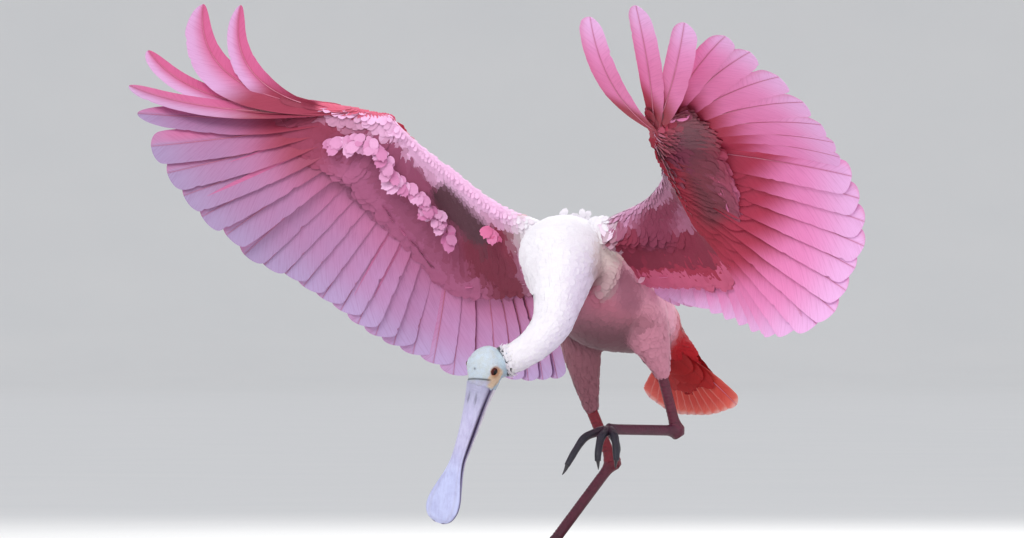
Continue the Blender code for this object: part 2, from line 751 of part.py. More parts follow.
def build_leg(name, thigh_rows, shank, foot, toes, torso):
    """Feathered thigh, bare shank, tarsus with the ankle, and foot."""
    thigh = tube("thigh_" + name, smooth(thigh_rows, 2), 16)
    clear_of(thigh, [torso])
    top, ankle = (Vector(point) for point in shank)
    way = (ankle - top).normalized()
    start = top
    sizes = ((0.0, SHANK_RADIUS), (0.55, SHANK_RADIUS), (1.0, SHANK_RADIUS * 1.15))
    end = ankle - way * (ANKLE_RADIUS * 0.8)
    bare = straight(start - way * 0.006, end, sizes, 10, "shank_" + name)
    clear_of(bare, [thigh])
    knob = ball("knob", ankle, ANKLE_RADIUS, 6, 10)
    foot = Vector(foot)
    leg_way = (foot - ankle).normalized()
    sizes = ((0.0, 0.0060), (0.12, TARSUS_RADIUS), (0.9, TARSUS_RADIUS), (1.0, 0.0050))
    bone = straight(ankle, foot - leg_way * 0.0060, sizes, 10, "bone")
    tarsus = union("tarsus_" + name, [bone, knob])
    clear_of(tarsus, [bpy.data.objects["shank_" + name]])
    pieces = [ball("joint", foot, 0.0062, 6, 10)]
    for toe in toes:
        rows = smooth([tuple(point) for point in toe], 2)
        sized = []
        for i, row in enumerate(rows):
            share = i / (len(rows) - 1)
            radius = TOE_RADIUS * (1.15 - 0.35 * share)
            if i == len(rows) - 1:
                radius = 0.0008
            sized.append(tuple(row) + (radius, radius * 0.9))
        pieces.append(tube("toe", sized, 6))
    foot_body = union("foot_" + name, pieces)
    clear_of(foot_body, [tarsus])


# Finishes: colour and roughness of the nodes whose names start so
FINISHES = {
    "torso": ((0.80, 0.66, 0.68), 0.9),
    "neck": ((0.88, 0.86, 0.92), 0.9),
    "head": ((0.62, 0.72, 0.68), 0.6),
    "eye": ((0.16, 0.02, 0.02), 0.1),
    "bill": ((0.40, 0.41, 0.56), 0.45),
    "wing": ((0.80, 0.26, 0.42), 0.8),
    "tail": ((0.86, 0.22, 0.12), 0.8),
    "thigh": ((0.66, 0.34, 0.38), 0.9),
    "shank": ((0.24, 0.04, 0.07), 0.6),
    "tarsus": ((0.20, 0.03, 0.07), 0.6),
    "foot": ((0.07, 0.06, 0.09), 0.6),
    "stand": ((0.40, 0.38, 0.36), 0.7),
}


def finish_nodes():
    """Gives each node a material of its own, and shades its round parts smooth."""
    for node in bpy.data.objects:
        colour, roughness = FINISHES[node.name.split("_")[0]]
        material = bpy.data.materials.new(node.name)
        material.use_nodes = True
        surface = material.node_tree.nodes["Principled BSDF"]
        surface.inputs["Base Color"].default_value = (*colour, 1.0)
        surface.inputs["Roughness"].default_value = roughness
        node.data.materials.clear()
        node.data.materials.append(material)
        node.data.shade_smooth()
        node.data.set_sharp_from_angle(angle=SHARP_ANGLE)


def main():
    """Builds every node in its place."""
    for found in list(bpy.data.objects):
        bpy.data.objects.remove(found)
    disc = Vector((0, 0, 0))
    rings = []
    for height, radius in ((0, BASE_RADIUS - 0.0015), (0.0015, BASE_RADIUS), (0.012, BASE_RADIUS), (BASE_HEIGHT, BASE_RADIUS - 0.003)):
        rings.append(oval(disc + Vector((0, 0, height)), Vector((1, 0, 0)), Vector((0, 1, 0)), radius, radius, 40))
    base = loft("stand_base", rings)
    torso, neck_lower, neck_upper = build_spine()
    head = build_head(neck_upper)
    clear_of(head, [neck_upper])
    build_eyes()
    upper = build_bill()
    build_wing("left", LEFT_WING, 1, torso)
    build_wing("right", RIGHT_WING, -1, torso)
    build_tail()
    build_leg("left", THIGH_LEFT, SHANK_LEFT, FOOT_LEFT, TOES_LEFT, torso)
    build_leg("right", THIGH_RIGHT, SHANK_RIGHT, FOOT_RIGHT, TOES_RIGHT, torso)
    clear_of(bpy.data.objects["foot_right"], [base])
    finish_nodes()


main()
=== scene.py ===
# %% [markdown]
# A roseate spoonbill, life size, landing on one leg with both wings raised.
# The solids of the bird are already packed as a fixed frame. This lesson dresses them: one skin for the
# flesh, thousands of small feathers over it, large feathers for the wings and the tail, a bare head with
# lids and a ridged bill, and scaly legs. Everything is in metres, +Z up, and the bird heads towards -Y.

import math

import bmesh
import bpy
import numpy as np
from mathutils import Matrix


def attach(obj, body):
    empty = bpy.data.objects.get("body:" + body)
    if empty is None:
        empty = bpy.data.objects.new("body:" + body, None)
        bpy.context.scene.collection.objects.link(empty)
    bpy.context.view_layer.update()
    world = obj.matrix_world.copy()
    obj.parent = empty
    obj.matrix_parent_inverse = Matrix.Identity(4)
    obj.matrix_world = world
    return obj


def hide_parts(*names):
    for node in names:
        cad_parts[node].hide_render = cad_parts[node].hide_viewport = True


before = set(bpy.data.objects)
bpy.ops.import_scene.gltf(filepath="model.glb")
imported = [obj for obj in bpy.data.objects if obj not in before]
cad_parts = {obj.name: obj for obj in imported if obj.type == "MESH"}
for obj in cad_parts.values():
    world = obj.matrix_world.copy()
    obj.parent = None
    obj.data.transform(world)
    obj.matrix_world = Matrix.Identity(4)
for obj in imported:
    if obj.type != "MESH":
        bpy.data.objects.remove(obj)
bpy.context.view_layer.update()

# %% [markdown]
# The bird was measured in the picture's own directions: across the picture, away from the viewer, and up.
# One small function turns such a point into the model's axes, so every place below can be read off the
# photograph and still lies in the same space as the solids.

# %% Points as the photograph shows them
VIEW_TURN = math.radians(45)
PIXELS_PER_METRE = 870.0
PICTURE = (1024, 538)
PIXEL_OF_ORIGIN = (575.0, 240.0)
HEIGHT_OF_ORIGIN = 0.376


def at(across, deep, up):
    """A point given across, away and up as seen from the bird's left front."""
    turn, rise = math.cos(VIEW_TURN), math.sin(VIEW_TURN)
    return np.array([across * turn - deep * rise, across * rise + deep * turn, up])


def seen(*rows):
    """Several such points, one for each row of three numbers."""
    return tuple(at(*row) for row in rows)


def unit(vectors):
    """Vectors made one long, along the last axis."""
    vectors = np.asarray(vectors, float)
    return vectors / np.maximum(np.linalg.norm(vectors, axis=-1, keepdims=True), 1e-12)


def step(value, low, high):
    """Nought below low, one above high, and a soft slope between."""
    share = np.clip((np.asarray(value, float) - low) / (high - low), 0, 1)
    return share * share * (3 - 2 * share)


def hill(distance, width):
    """A soft bump: one in the middle, nought far away."""
    return np.exp(-((distance / width) ** 2))


def rgb(red, green, blue):
    """A colour as a screen shows it, 0 to 255, turned into light."""
    value = np.array([red, green, blue]) / 255
    return np.where(value <= 0.04045, value / 12.92, ((value + 0.055) / 1.055) ** 2.4)


def blend(colour, *layers):
    """A colour, or a row of colours, with other colours laid over it, each by its share."""
    colour = np.asarray(colour)
    for other, share in layers:
        share = np.asarray(share, float)[..., None]
        colour = colour * (1 - share) + np.asarray(other) * share
    return colour


print("camera side of the neck", at(0, -0.1, 0.3).round(3))

# %% [markdown]
# The camera stands far off with a long lens, as bird photographers do, so the wings keep their true
# proportions. Its lens follows from how many pixels one metre takes in the picture.

# %% Camera
CAMERA_DISTANCE = 20.0
SENSOR = 36.0

shown_width = PICTURE[0] / PIXELS_PER_METRE
middle_across = (PICTURE[0] / 2 - PIXEL_OF_ORIGIN[0]) / PIXELS_PER_METRE
middle_up = HEIGHT_OF_ORIGIN - (PICTURE[1] / 2 - PIXEL_OF_ORIGIN[1]) / PIXELS_PER_METRE
camera_data = bpy.data.cameras.new("camera")
camera_data.sensor_width = SENSOR
camera_data.lens = SENSOR * CAMERA_DISTANCE / shown_width
camera_data.clip_end = 200


def new_object(name, data):
    """An object for a mesh, a curve, a lamp or a camera, linked to the scene, at the origin."""
    made = bpy.data.objects.new(name, data)
    bpy.context.scene.collection.objects.link(made)
    return made


camera = new_object("camera", camera_data)
camera.location = at(middle_across, -CAMERA_DISTANCE, middle_up)
camera.rotation_euler = (math.pi / 2, 0, VIEW_TURN)
bpy.context.scene.camera = camera
print("lens", round(camera_data.lens, 1), "mm, picture", round(shown_width, 3), "m across")

# %% [markdown]
# A wide pale floor curves up far away on every side, as paper does in a studio, so no horizon line crosses
# the picture from any side. Broad area lamps give the soft light of a studio: a strong one high on the
# left, a weaker one on the right, one behind for the feather edges, and a pale world for the rest.

# %% Floor and lamps
FLOOR_RINGS = (0.01, 3.0, 10.0, 30.0)
FLOOR_BEND = 3.0
BEND_STEPS = 9
FLOOR_SIDES = 64
FLOOR_GAP = 0.0005
LAMPS = (
    ("key", at(-1.2, -2.6, 2.6), 1.8, 50.0, (1.0, 0.98, 0.95)),
    ("fill", at(2.4, -2.8, 1.0), 2.2, 18.0, (0.95, 0.97, 1.0)),
    ("rim", at(0.6, 2.4, 2.4), 1.6, 50.0, (1.0, 0.99, 0.97)),
)


def mesh_of(name, points, faces):
    """A smooth mesh from arrays of points and of faces with three or more corners."""
    mesh = bpy.data.meshes.new(name)
    mesh.from_pydata(np.asarray(points, float).tolist(), [], [list(map(int, face)) for face in faces])
    mesh.polygons.foreach_set("use_smooth", [True] * len(mesh.polygons))
    mesh.update()
    return mesh


def bands(rows, sides):
    """Four-cornered faces between rings of as many corners each."""
    faces = []
    for row in range(rows - 1):
        for side in range(sides):
            a, b = row * sides + side, row * sides + (side + 1) % sides
            faces.append((a, b, b + sides, a + sides))
    return faces


floor_profile = [(outward, 0.0) for outward in FLOOR_RINGS]
for angle in np.linspace(0, math.pi / 2, BEND_STEPS + 1)[1:]:
    floor_profile.append((FLOOR_RINGS[-1] + FLOOR_BEND * math.sin(angle), FLOOR_BEND * (1 - math.cos(angle))))
floor_points = []
for outward, rise in floor_profile:
    for side in range(FLOOR_SIDES):
        turn = 2 * math.pi * side / FLOOR_SIDES
        floor_points.append((math.cos(turn) * outward, math.sin(turn) * outward, rise - FLOOR_GAP))
floor_faces = [face[::-1] for face in bands(len(floor_profile), FLOOR_SIDES)] + [tuple(range(FLOOR_SIDES))]
floor = new_object("floor", mesh_of("floor", floor_points, floor_faces))
for name, place, size, power, colour in LAMPS:
    lamp_data = bpy.data.lights.new(name, "AREA")
    lamp_data.shape = "DISK"
    lamp_data.size = size
    lamp_data.energy = power
    lamp_data.color = colour
    lamp = new_object(name, lamp_data)
    way = unit(at(0, 0, 0.35) - place)
    lamp.location = place
    lamp.rotation_euler = (math.acos(-way[2]), 0, math.atan2(-way[0], way[1]))
world = bpy.data.worlds.new("room")
world.use_nodes = True
world.node_tree.nodes["Background"].inputs["Color"].default_value = (0.93, 0.95, 1.0, 1)
world.node_tree.nodes["Background"].inputs["Strength"].default_value = 0.80
bpy.context.scene.world = world
bpy.context.scene.view_settings.view_transform = "Standard"
print("lamps", len(LAMPS))

# %% [markdown]
# Materials are small node trees. One helper starts a tree with its main shader, and others add the nodes
# that most finishes need: a fine noise, a mix of two colours, and a bump. A number that is the same all
# over is set on the shader itself, because only then does it travel with the exported model.

# %% Node helpers


def start_material(name, roughness, **settings):
    """A material with its main shader, and the shader's fixed numbers."""
    material = bpy.data.materials.new(name)
    material.use_nodes = True
    shader = material.node_tree.nodes["Principled BSDF"]
    shader.inputs["Roughness"].default_value = roughness
    for label, value in settings.items():
        shader.inputs[label.replace("_", " ")].default_value = value
    return material, material.node_tree, shader


def add(tree, kind, links=None, **values):
    """Adds a node, sets its options and inputs, and links what comes in."""
    node = tree.nodes.new(kind)
    for label, value in values.items():
        if hasattr(node, label):
            setattr(node, label, value)
        else:
            node.inputs[label.replace("_", " ")].default_value = value
    for label, source in (links or {}).items():
        tree.links.new(source, node.inputs[label])
    return node


def math_node(tree, operation, first, second=0.5):
    """One sum, with sockets or plain numbers as its two terms."""
    node = add(tree, "ShaderNodeMath", operation=operation)
    for slot, term in enumerate((first, second)):
        if isinstance(term, (int, float)):
            node.inputs[slot].default_value = term
        else:
            tree.links.new(term, node.inputs[slot])
    return node.outputs[0]


def mixed(tree, share, first, second, way="MIX"):
    """A mix of two colours, each a socket or three numbers."""
    node = add(tree, "ShaderNodeMix", data_type="RGBA", blend_type=way)
    for slot, term in ((0, share), (6, first), (7, second)):
        if isinstance(term, (int, float)):
            node.inputs[slot].default_value = term
        elif isinstance(term, (tuple, np.ndarray)):
            node.inputs[slot].default_value = (*[float(v) for v in term], 1.0)
        else:
            tree.links.new(term, node.inputs[slot])
    return node.outputs[2]


def dimmed(tree, colour, factors):
    """A colour with its red, green and blue each made weaker."""
    return mixed(tree, 1.0, colour, factors, "MULTIPLY")


def mapped(tree, value, low, high, to_low=0.0, to_high=1.0):
    """A socket's range stretched to another, and held at its ends."""
    ends = {"From_Min": low, "From_Max": high, "To_Min": to_low, "To_Max": to_high}
    return add(tree, "ShaderNodeMapRange", {"Value": value}, clamp=True, **ends).outputs[0]


def noise(tree, vector, scale, detail=3.0, roughness=0.5):
    """A soft random pattern on the given coordinates."""
    links = {"Vector": vector}
    return add(tree, "ShaderNodeTexNoise", links, Scale=scale, Detail=detail, Roughness=roughness).outputs[0]


def own_place(tree):
    """The object's own coordinates."""
    return add(tree, "ShaderNodeTexCoord").outputs["Object"]


def own_value(tree, name, output="Color"):
    """A value stored on the mesh, such as its tint."""
    return add(tree, "ShaderNodeAttribute", attribute_name=name).outputs[output]


def stretched(tree, place, scale, turn=(0.0, 0.0, 0.0)):
    """Coordinates stretched, and turned if wanted, so that a noise on them becomes a grain."""
    return add(tree, "ShaderNodeMapping", {"Vector": place}, Rotation=turn, Scale=scale).outputs[0]


def painted(tree, shader, colour):
    """Gives the shader its colour."""
    tree.links.new(colour, shader.inputs["Base Color"])


def bumped(tree, shader, height, strength, depth):
    """Gives the shader a relief from a height."""
    node = add(tree, "ShaderNodeBump", {"Height": height}, Strength=strength, Distance=depth)
    tree.links.new(node.outputs[0], shader.inputs["Normal"])


def cloudy_finish(name, roughness, scale, first, second):
    """A finish of two colours that change softly into each other."""
    material, tree, shader = start_material(name, roughness)
    painted(tree, shader, mixed(tree, noise(tree, own_place(tree), scale), first, second))
    return material


floor.data.materials.append(cloudy_finish("floor_paper", 0.85, 3.0, rgb(226, 226, 225), rgb(232, 231, 229)))
print("floor paper made")

# %% [markdown]
# Smooth curves through a few named points give nearly every form here. The first helper runs a curve
# through rows of numbers, the second finds the place at a share of a curve's length, and the others turn
# rows of rings into the corners and faces of a closed skin.

# %% Curves and rings


def smooth(rows, steps):
    """Rows of numbers along a smooth curve through the given rows."""
    rows = np.asarray(rows, float)
    ends = np.vstack([rows[:1], rows, rows[-1:]])
    share = (np.arange(steps) / steps)[:, None]
    found = []
    for i in range(len(rows) - 1):
        a, b, c, d = ends[i : i + 4]
        found.append(
            0.5 * (2 * b + (c - a) * share + (2 * a - 5 * b + 4 * c - d) * share**2)
            + 0.5 * (3 * b - a - 3 * c + d) * share**3
        )
    return np.vstack(found + [rows[-1:]])


def lengths_of(line):
    """How far each point of a line lies from its start."""
    return np.concatenate([[0], np.cumsum(np.linalg.norm(np.diff(line, axis=0), axis=1))])


def along(points, shares):
    """The points at shares of a smooth curve's length."""
    fine = smooth(points, 12)
    lengths = lengths_of(fine)
    wanted = np.asarray(shares, float) * lengths[-1]
    return np.stack([np.interp(wanted, lengths, fine[:, k]) for k in range(fine.shape[1])], axis=-1)


def ways_of(line):
    """The direction of a line at each of its points."""
    return unit(np.gradient(line, axis=0))


def turns(sides):
    """The angles of evenly spread points round a ring."""
    return np.linspace(0, 2 * math.pi, sides, endpoint=False)


def square_to(direction, side):
    """The side vector made square to the direction, and the one square to both."""
    direction = unit(direction)
    left = unit(side - direction * np.dot(side, direction))
    return left, np.cross(direction, left)


def oval(centre, left, up, wide, high, sides):
    """A ring of points round a centre."""
    angles = turns(sides)
    return centre + np.outer(np.cos(angles), left) * wide + np.outer(np.sin(angles), up) * high


def skin_over(rings):
    """The points and faces of a closed skin over rings of as many points each."""
    rings = np.asarray(rings, float)
    rows, sides = rings.shape[:2]
    faces = bands(rows, sides)
    for row, middle in ((0, rows * sides), (rows - 1, rows * sides + 1)):
        for side in range(sides):
            a, b = row * sides + side, row * sides + (side + 1) % sides
            faces.append((b, a, middle) if row == 0 else (a, b, middle))
    return np.vstack([rings.reshape(-1, 3), rings[0].mean(axis=0)[None], rings[-1].mean(axis=0)[None]]), faces


def tube(rows, sides):
    """A closed skin through rows of x, y, z, half width and half height."""
    rings = []
    left = np.array([1.0, 0.0, 0.0])
    for row, way in zip(rows, np.gradient(rows[:, :3], axis=0)):
        left, up = square_to(way, left)
        rings.append(oval(row[:3], left, up, row[3], row[4], sides))
    return skin_over(rings)


def egg(centre, size, rows=10, sides=20):
    """A ball as a closed skin."""
    rings = []
    for tilt in math.pi * np.arange(1, rows) / rows:
        wide = math.sin(tilt) * size
        ring_centre = centre - np.array([0, 0, math.cos(tilt)]) * size
        rings.append(oval(ring_centre, np.array([1.0, 0, 0]), np.array([0, 1.0, 0]), wide, wide, sides))
    return skin_over(rings)


def joined(forms):
    """The points and faces of several forms as one."""
    points, faces, start = [], [], 0
    for own_points, own_faces in forms:
        points.append(own_points)
        faces += [tuple(corner + start for corner in face) for face in own_faces]
        start += len(own_points)
    return np.vstack(points), faces


def outwards(mesh):
    """Turns the faces of closed shells so that they all look outwards."""
    shape = bmesh.new()
    shape.from_mesh(mesh)
    bmesh.ops.remove_doubles(shape, verts=shape.verts[:], dist=1e-7)
    bmesh.ops.recalc_face_normals(shape, faces=shape.faces[:])
    if shape.calc_volume(signed=True) < 0:
        bmesh.ops.reverse_faces(shape, faces=shape.faces[:])
    shape.to_mesh(mesh)
    shape.free()


print("curve of three points", along([(0, 0, 0), (1, 0, 0), (1, 1, 0)], [0.5]).round(2))

# %% [markdown]
# The flesh of the bird is one body: torso and neck along a bent spine, two thighs, and the arm and hand of
# each wing. Here each form is a closed skin over rings, on the same named places as the solids but
# thinner by the depth of the feathers. Together they are then melted into one skin, so no seam shows
# where a thigh or a wing leaves the torso.

# %% Flesh of torso, neck and thighs
THINNEST = 0.0035
LIMB_STEPS = 6
THIGH_DEPTH = 0.0022
# the coat's depth at each row of the spine
SPINE_DEPTHS = [0.0028] * 9 + [0.0022] + [0.0016] * 4
# x, y, z, half width, half height from the rump to the head
SPINE = (
    (0.000, 0.152, 0.262, 0.024, 0.022),
    (0.000, 0.126, 0.277, 0.040, 0.036),
    (0.000, 0.092, 0.293, 0.055, 0.053),
    (0.000, 0.052, 0.312, 0.063, 0.065),
    (0.000, 0.016, 0.334, 0.064, 0.064),
    (0.003, -0.012, 0.352, 0.060, 0.055),
    (0.013, -0.034, 0.356, 0.052, 0.047),
    (0.024, -0.047, 0.342, 0.045, 0.041),
    (0.034, -0.059, 0.322, 0.036, 0.034),
    (0.042, -0.072, 0.300, 0.0285, 0.0275),
    (0.0448, -0.086, 0.277, 0.0240, 0.0235),
    (0.038, -0.104, 0.2565, 0.0205, 0.0205),
    (0.0257, -0.121, 0.2425, 0.0185, 0.0185),
    (0.0150, -0.132, 0.2365, 0.0178, 0.0178),
)
RUMP = (
    (0.000, 0.184, 0.205, 0.026, 0.0045),
    (0.000, 0.177, 0.222, 0.031, 0.0090),
    (0.000, 0.166, 0.245, 0.028, 0.0155),
)
RUMP_DEPTH = 0.0018
THIGHS = {
    "left": (
        (0.028, 0.052, 0.312, 0.030, 0.036),
        (0.034, 0.062, 0.300, 0.030, 0.038),
        (0.044, 0.074, 0.268, 0.024, 0.029),
        (0.048, 0.085, 0.243, 0.0165, 0.019),
        (0.050, 0.093, 0.2195, 0.0098, 0.0102),
    ),
    "right": (
        (-0.028, 0.035, 0.305, 0.028, 0.034),
        (-0.034, 0.045, 0.290, 0.030, 0.036),
        (-0.040, 0.052, 0.250, 0.024, 0.026),
        (-0.041, 0.060, 0.213, 0.0165, 0.0175),
        (-0.040, 0.0676, 0.1805, 0.0098, 0.0102),
    ),
}


def thinned(rows, depth, steps=LIMB_STEPS):
    """A smooth line through rows of places and half sizes, with the coat's depth taken off the sizes."""
    rows = np.array(rows, float)
    rows[:, 3:5] = np.maximum(rows[:, 3:5] - np.reshape(depth, (-1, 1)), THINNEST)
    return smooth(rows, steps)


spine_line = thinned(SPINE, SPINE_DEPTHS)
thigh_lines = {name: thinned(rows, THIGH_DEPTH) for name, rows in THIGHS.items()}
flesh = [tube(spine_line, 40), tube(thinned(RUMP + SPINE[:2], RUMP_DEPTH, 5), 32)]
flesh += [tube(line, 28) for line in thigh_lines.values()]
print("spine rows", len(spine_line), "forms", len(flesh))

# %% [markdown]
# Each wing is measured by its joints (shoulder, elbow, wrist and the end of the hand), by the line of its
# leading edge, by the line where its flesh ends, and by the tips of its flight feathers. The long list is
# the wing's pose: no rule gives where a landing bird holds each fingertip feather. Some outer feathers also
# have a place that they bend through, and two have a little more width in front or behind.

# %% Wing measures
PRIMARIES = 10
SECONDARIES = 18
WINGS = {
    "left": {
        "side": 1,
        "bones": seen((0.039, -0.039, 0.385), (0.144, -0.116, 0.390), (0.092, -0.209, 0.485)),
        "hand": at(0.0885, -0.284, 0.5024),
        "lead": seen(
            (0.040, -0.022, 0.404), (0.0800, -0.075, 0.4245), (0.099, -0.125, 0.450),
            (0.0966, -0.170, 0.475), (0.0885, -0.212, 0.496),
        ),
        "rear": seen(
            (0.060, -0.010, 0.335), (0.110, -0.055, 0.335), (0.180, -0.135, 0.340),
            (0.175, -0.190, 0.415), (0.150, -0.225, 0.480),
        ),
        "hand_rear": seen((0.150, -0.225, 0.480), (0.140, -0.270, 0.500), (0.116, -0.318, 0.515)),
        "primaries": seen(
            (0.300, -0.273, 0.471), (0.292, -0.315, 0.4875), (0.277, -0.362, 0.507),
            (0.256, -0.408, 0.532), (0.228, -0.448, 0.560), (0.195, -0.480, 0.5875),
            (0.167, -0.500, 0.605), (0.121, -0.515, 0.6197), (0.067, -0.504, 0.639),
            (0.016, -0.464, 0.6266),
        ),
        "secondaries": seen(
            (0.110, 0.000, 0.303), (0.150, -0.060, 0.298), (0.190, -0.120, 0.288),
            (0.240, -0.190, 0.272), (0.292, -0.225, 0.292), (0.318, -0.232, 0.345),
            (0.3276, -0.240, 0.396), (0.314, -0.255, 0.448),
        ),
        "bend": {9: at(0.029, -0.400, 0.541), 8: at(0.087, -0.410, 0.558), 7: at(0.112, -0.420, 0.551)},
        "wider": {9: (0.0055, 0.0)},
        "pad": at(0.031, -0.030, 0.3850),
    },
    "right": {
        "side": -1,
        "bones": seen((-0.039, 0.039, 0.385), (-0.130, 0.132, 0.385), (-0.209, 0.092, 0.512)),
        "hand": at(-0.286, 0.100, 0.530),
        "lead": seen(
            (-0.045, 0.030, 0.398), (-0.092, 0.052, 0.4185), (-0.141, 0.070, 0.4565),
            (-0.1816, 0.080, 0.4886), (-0.210, 0.088, 0.5185),
        ),
        "rear": seen(
            (-0.035, 0.060, 0.330), (-0.075, 0.105, 0.325), (-0.145, 0.165, 0.330),
            (-0.205, 0.135, 0.395), (-0.255, 0.100, 0.455),
        ),
        "hand_rear": seen((-0.255, 0.100, 0.455), (-0.305, 0.106, 0.480), (-0.340, 0.118, 0.516)),
        "primaries": seen(
            (-0.403, 0.110, 0.382), (-0.431, 0.105, 0.403), (-0.452, 0.108, 0.427),
            (-0.471, 0.115, 0.453), (-0.490, 0.125, 0.484), (-0.506, 0.140, 0.522),
            (-0.516, 0.160, 0.554), (-0.495, 0.225, 0.5955), (-0.431, 0.250, 0.6496),
            (-0.387, 0.220, 0.648),
        ),
        "secondaries": seen(
            (-0.020, 0.100, 0.217), (-0.061, 0.150, 0.214), (-0.101, 0.185, 0.216),
            (-0.141, 0.200, 0.221), (-0.185, 0.205, 0.243), (-0.2425, 0.175, 0.271),
            (-0.290, 0.155, 0.309), (-0.380, 0.122, 0.361),
        ),
        "bend": {
            9: at(-0.4063, 0.120, 0.5484), 8: at(-0.4425, 0.135, 0.5427),
            7: at(-0.4425, 0.140, 0.520), 6: at(-0.431, 0.130, 0.516),
        },
        "wider": {8: (0.0, 0.0090)},
        "pad": at(-0.031, 0.030, 0.3750),
    },
}
print("flight feathers on each wing", PRIMARIES + SECONDARIES)

# %% [markdown]
# The flesh of a wing is a flat body: thick along the bones, thin at the fold of skin that runs straight
# from shoulder to wrist in front, and thin behind, where the flight feathers leave it. A ring of eleven
# points at each station gives that section, and a smooth curve through them fills in the rest. A round pad
# at the shoulder fills the corner between wing and torso.

# %% Flesh of the wings
ARM_THICKNESS = (0.030, 0.024, 0.020, 0.017, 0.014)
HAND_THICKNESS = (0.013, 0.011, 0.007)
REAR_THICKNESS = 0.0042
SKIN_CUT = 0.0016
PAD_SIZE = 0.0165


def wing_section(lead, bone, rear, normal, thick):
    """A closed section of a wing's flesh, from the leading edge past the bone to the rear."""
    thick = thick - SKIN_CUT
    front = unit(bone - lead)
    over, under = [
        [
            lead + front * 0.004 + normal * (side * thick * 0.25),
            lead * 0.4 + bone * 0.6 + normal * (side * thick * 0.40),
            bone + normal * (side * thick * 0.5),
            (bone + rear) / 2 + normal * (side * (thick + REAR_THICKNESS) * 0.25),
            rear + normal * (side * REAR_THICKNESS * 0.5),
        ]
        for side in (1, -1)
    ]
    return np.concatenate([lead + front * 0.0015, *over, *under[::-1]])


def arm_stations(wing):
    """Lead, bone, rear, normal and thickness at each station of the arm and then of the hand."""
    shoulder, elbow, wrist = wing["bones"]
    bones = [shoulder, (shoulder + elbow) / 2, elbow, (elbow + wrist) / 2, wrist]
    arm = []
    for i in range(5):
        lead, rear = wing["lead"][i], wing["rear"][i]
        span = unit(bones[min(i + 1, 4)] - bones[max(i - 1, 0)])
        normal = unit(np.cross(span, unit(rear - lead))) * wing["side"]
        arm.append((lead, bones[i], rear, normal, ARM_THICKNESS[i]))
    hand = []
    span = unit(wing["hand"] - wrist)
    for i, share in enumerate((0.02, 0.5, 1.0)):
        bone = wrist + (wing["hand"] - wrist) * share
        rear = wing["hand_rear"][i]
        lead = wing["lead"][4] + (wing["hand"] - wing["lead"][4]) * share
        normal = unit(np.cross(span, unit(rear - bone))) * wing["side"]
        lead = lead + unit(bone - rear) * (0.004 + 0.002 * share)
        hand.append((lead, bone, rear, normal, HAND_THICKNESS[i]))
    return arm, hand


for wing in WINGS.values():
    wing["stations"] = arm_stations(wing)
    for stations in wing["stations"]:
        sections = smooth([wing_section(*row) for row in stations], 5)
        flesh.append(skin_over(sections.reshape(len(sections), -1, 3)))
    flesh.append(egg(wing["pad"], PAD_SIZE))
print("forms of flesh", len(flesh))

# %% [markdown]
# The separate forms are joined as they are and then remeshed in small even squares. That is the quick way
# to one continuous skin from overlapping bodies, where a Boolean would keep their sharp meeting lines. A
# few rounds of smoothing melt the folds between limb and body, as skin does.

# %% One skin
SKIN_SQUARE = 0.0021


def plain_copy(name, source):
    """The mesh that an object's modifiers make of it, as a plain object of its own."""
    graph = bpy.context.evaluated_depsgraph_get()
    mesh = bpy.data.meshes.new_from_object(source.evaluated_get(graph))
    mesh.name = name
    mesh.polygons.foreach_set("use_smooth", [True] * len(mesh.polygons))
    return new_object(name, mesh)


def melted(name, forms, square, rounds):
    """One smooth skin from overlapping forms, remeshed in squares of a given size."""
    mesh = mesh_of(name + "_rough", *joined(forms))
    outwards(mesh)
    rough = new_object(name + "_rough", mesh)
    remesh = rough.modifiers.new("Remesh", "REMESH")
    remesh.mode = "VOXEL"
    remesh.voxel_size = square
    soften = rough.modifiers.new("Soften", "SMOOTH")
    soften.factor = 0.5
    soften.iterations = rounds
    made = plain_copy(name, rough)
    bpy.data.objects.remove(rough)
    return made


skin = melted("skin", flesh, SKIN_SQUARE, 7)
print("skin corners", len(skin.data.vertices), "faces", len(skin.data.polygons))

# %% [markdown]
# Feathers need to know where on the bird they grow: which way they lie, how long they are and what colour
# they have. Those facts are worked out once for every corner of the skin, from the limb it lies nearest to,
# and kept on the skin as attributes. Skin and feathers then read the same values, so they always match.

# %% Which limb a corner of the skin belongs to
PART = 4000


def corner_values(mesh, what):
    """The places or the normals of a mesh's corners."""
    flat = np.empty(len(mesh.vertices) * 3)
    mesh.vertices.foreach_get(what, flat)
    return flat.reshape(-1, 3)


def nearest(points, centres, sizes):
    """For each point the best centre and how far the point lies off that centre's surface."""
    best = np.empty(len(points), int)
    off = np.empty(len(points))
    for start in range(0, len(points), PART):
        part = points[start : start + PART]
        gap = np.linalg.norm(part[:, None] - centres[None], axis=2) - sizes[None]
        chosen = np.argmin(np.abs(gap) + 0.05 * sizes[None], axis=1)
        best[start : start + PART] = chosen
        off[start : start + PART] = np.abs(gap[np.arange(len(part)), chosen])
    return best, off


def limb_facts(line):
    """Share along a limb, distance off it, direction, centre and size for each corner of the skin."""
    centres, sizes = line[:, :3], (line[:, 3] + line[:, 4]) / 2
    best, off = nearest(corners, centres, sizes)
    return best / (len(centres) - 1), off, ways_of(centres)[best], centres[best], sizes[best]


corners = corner_values(skin.data, "co")
outs = corner_values(skin.data, "normal")
corner_count = len(corners)
spine_share, spine_off, spine_ways, spine_centres, spine_sizes = limb_facts(spine_line)
thigh_facts = {name: limb_facts(line)[:3] for name, line in thigh_lines.items()}
print("corners nearest the neck", int((spine_share > 0.6).sum()))

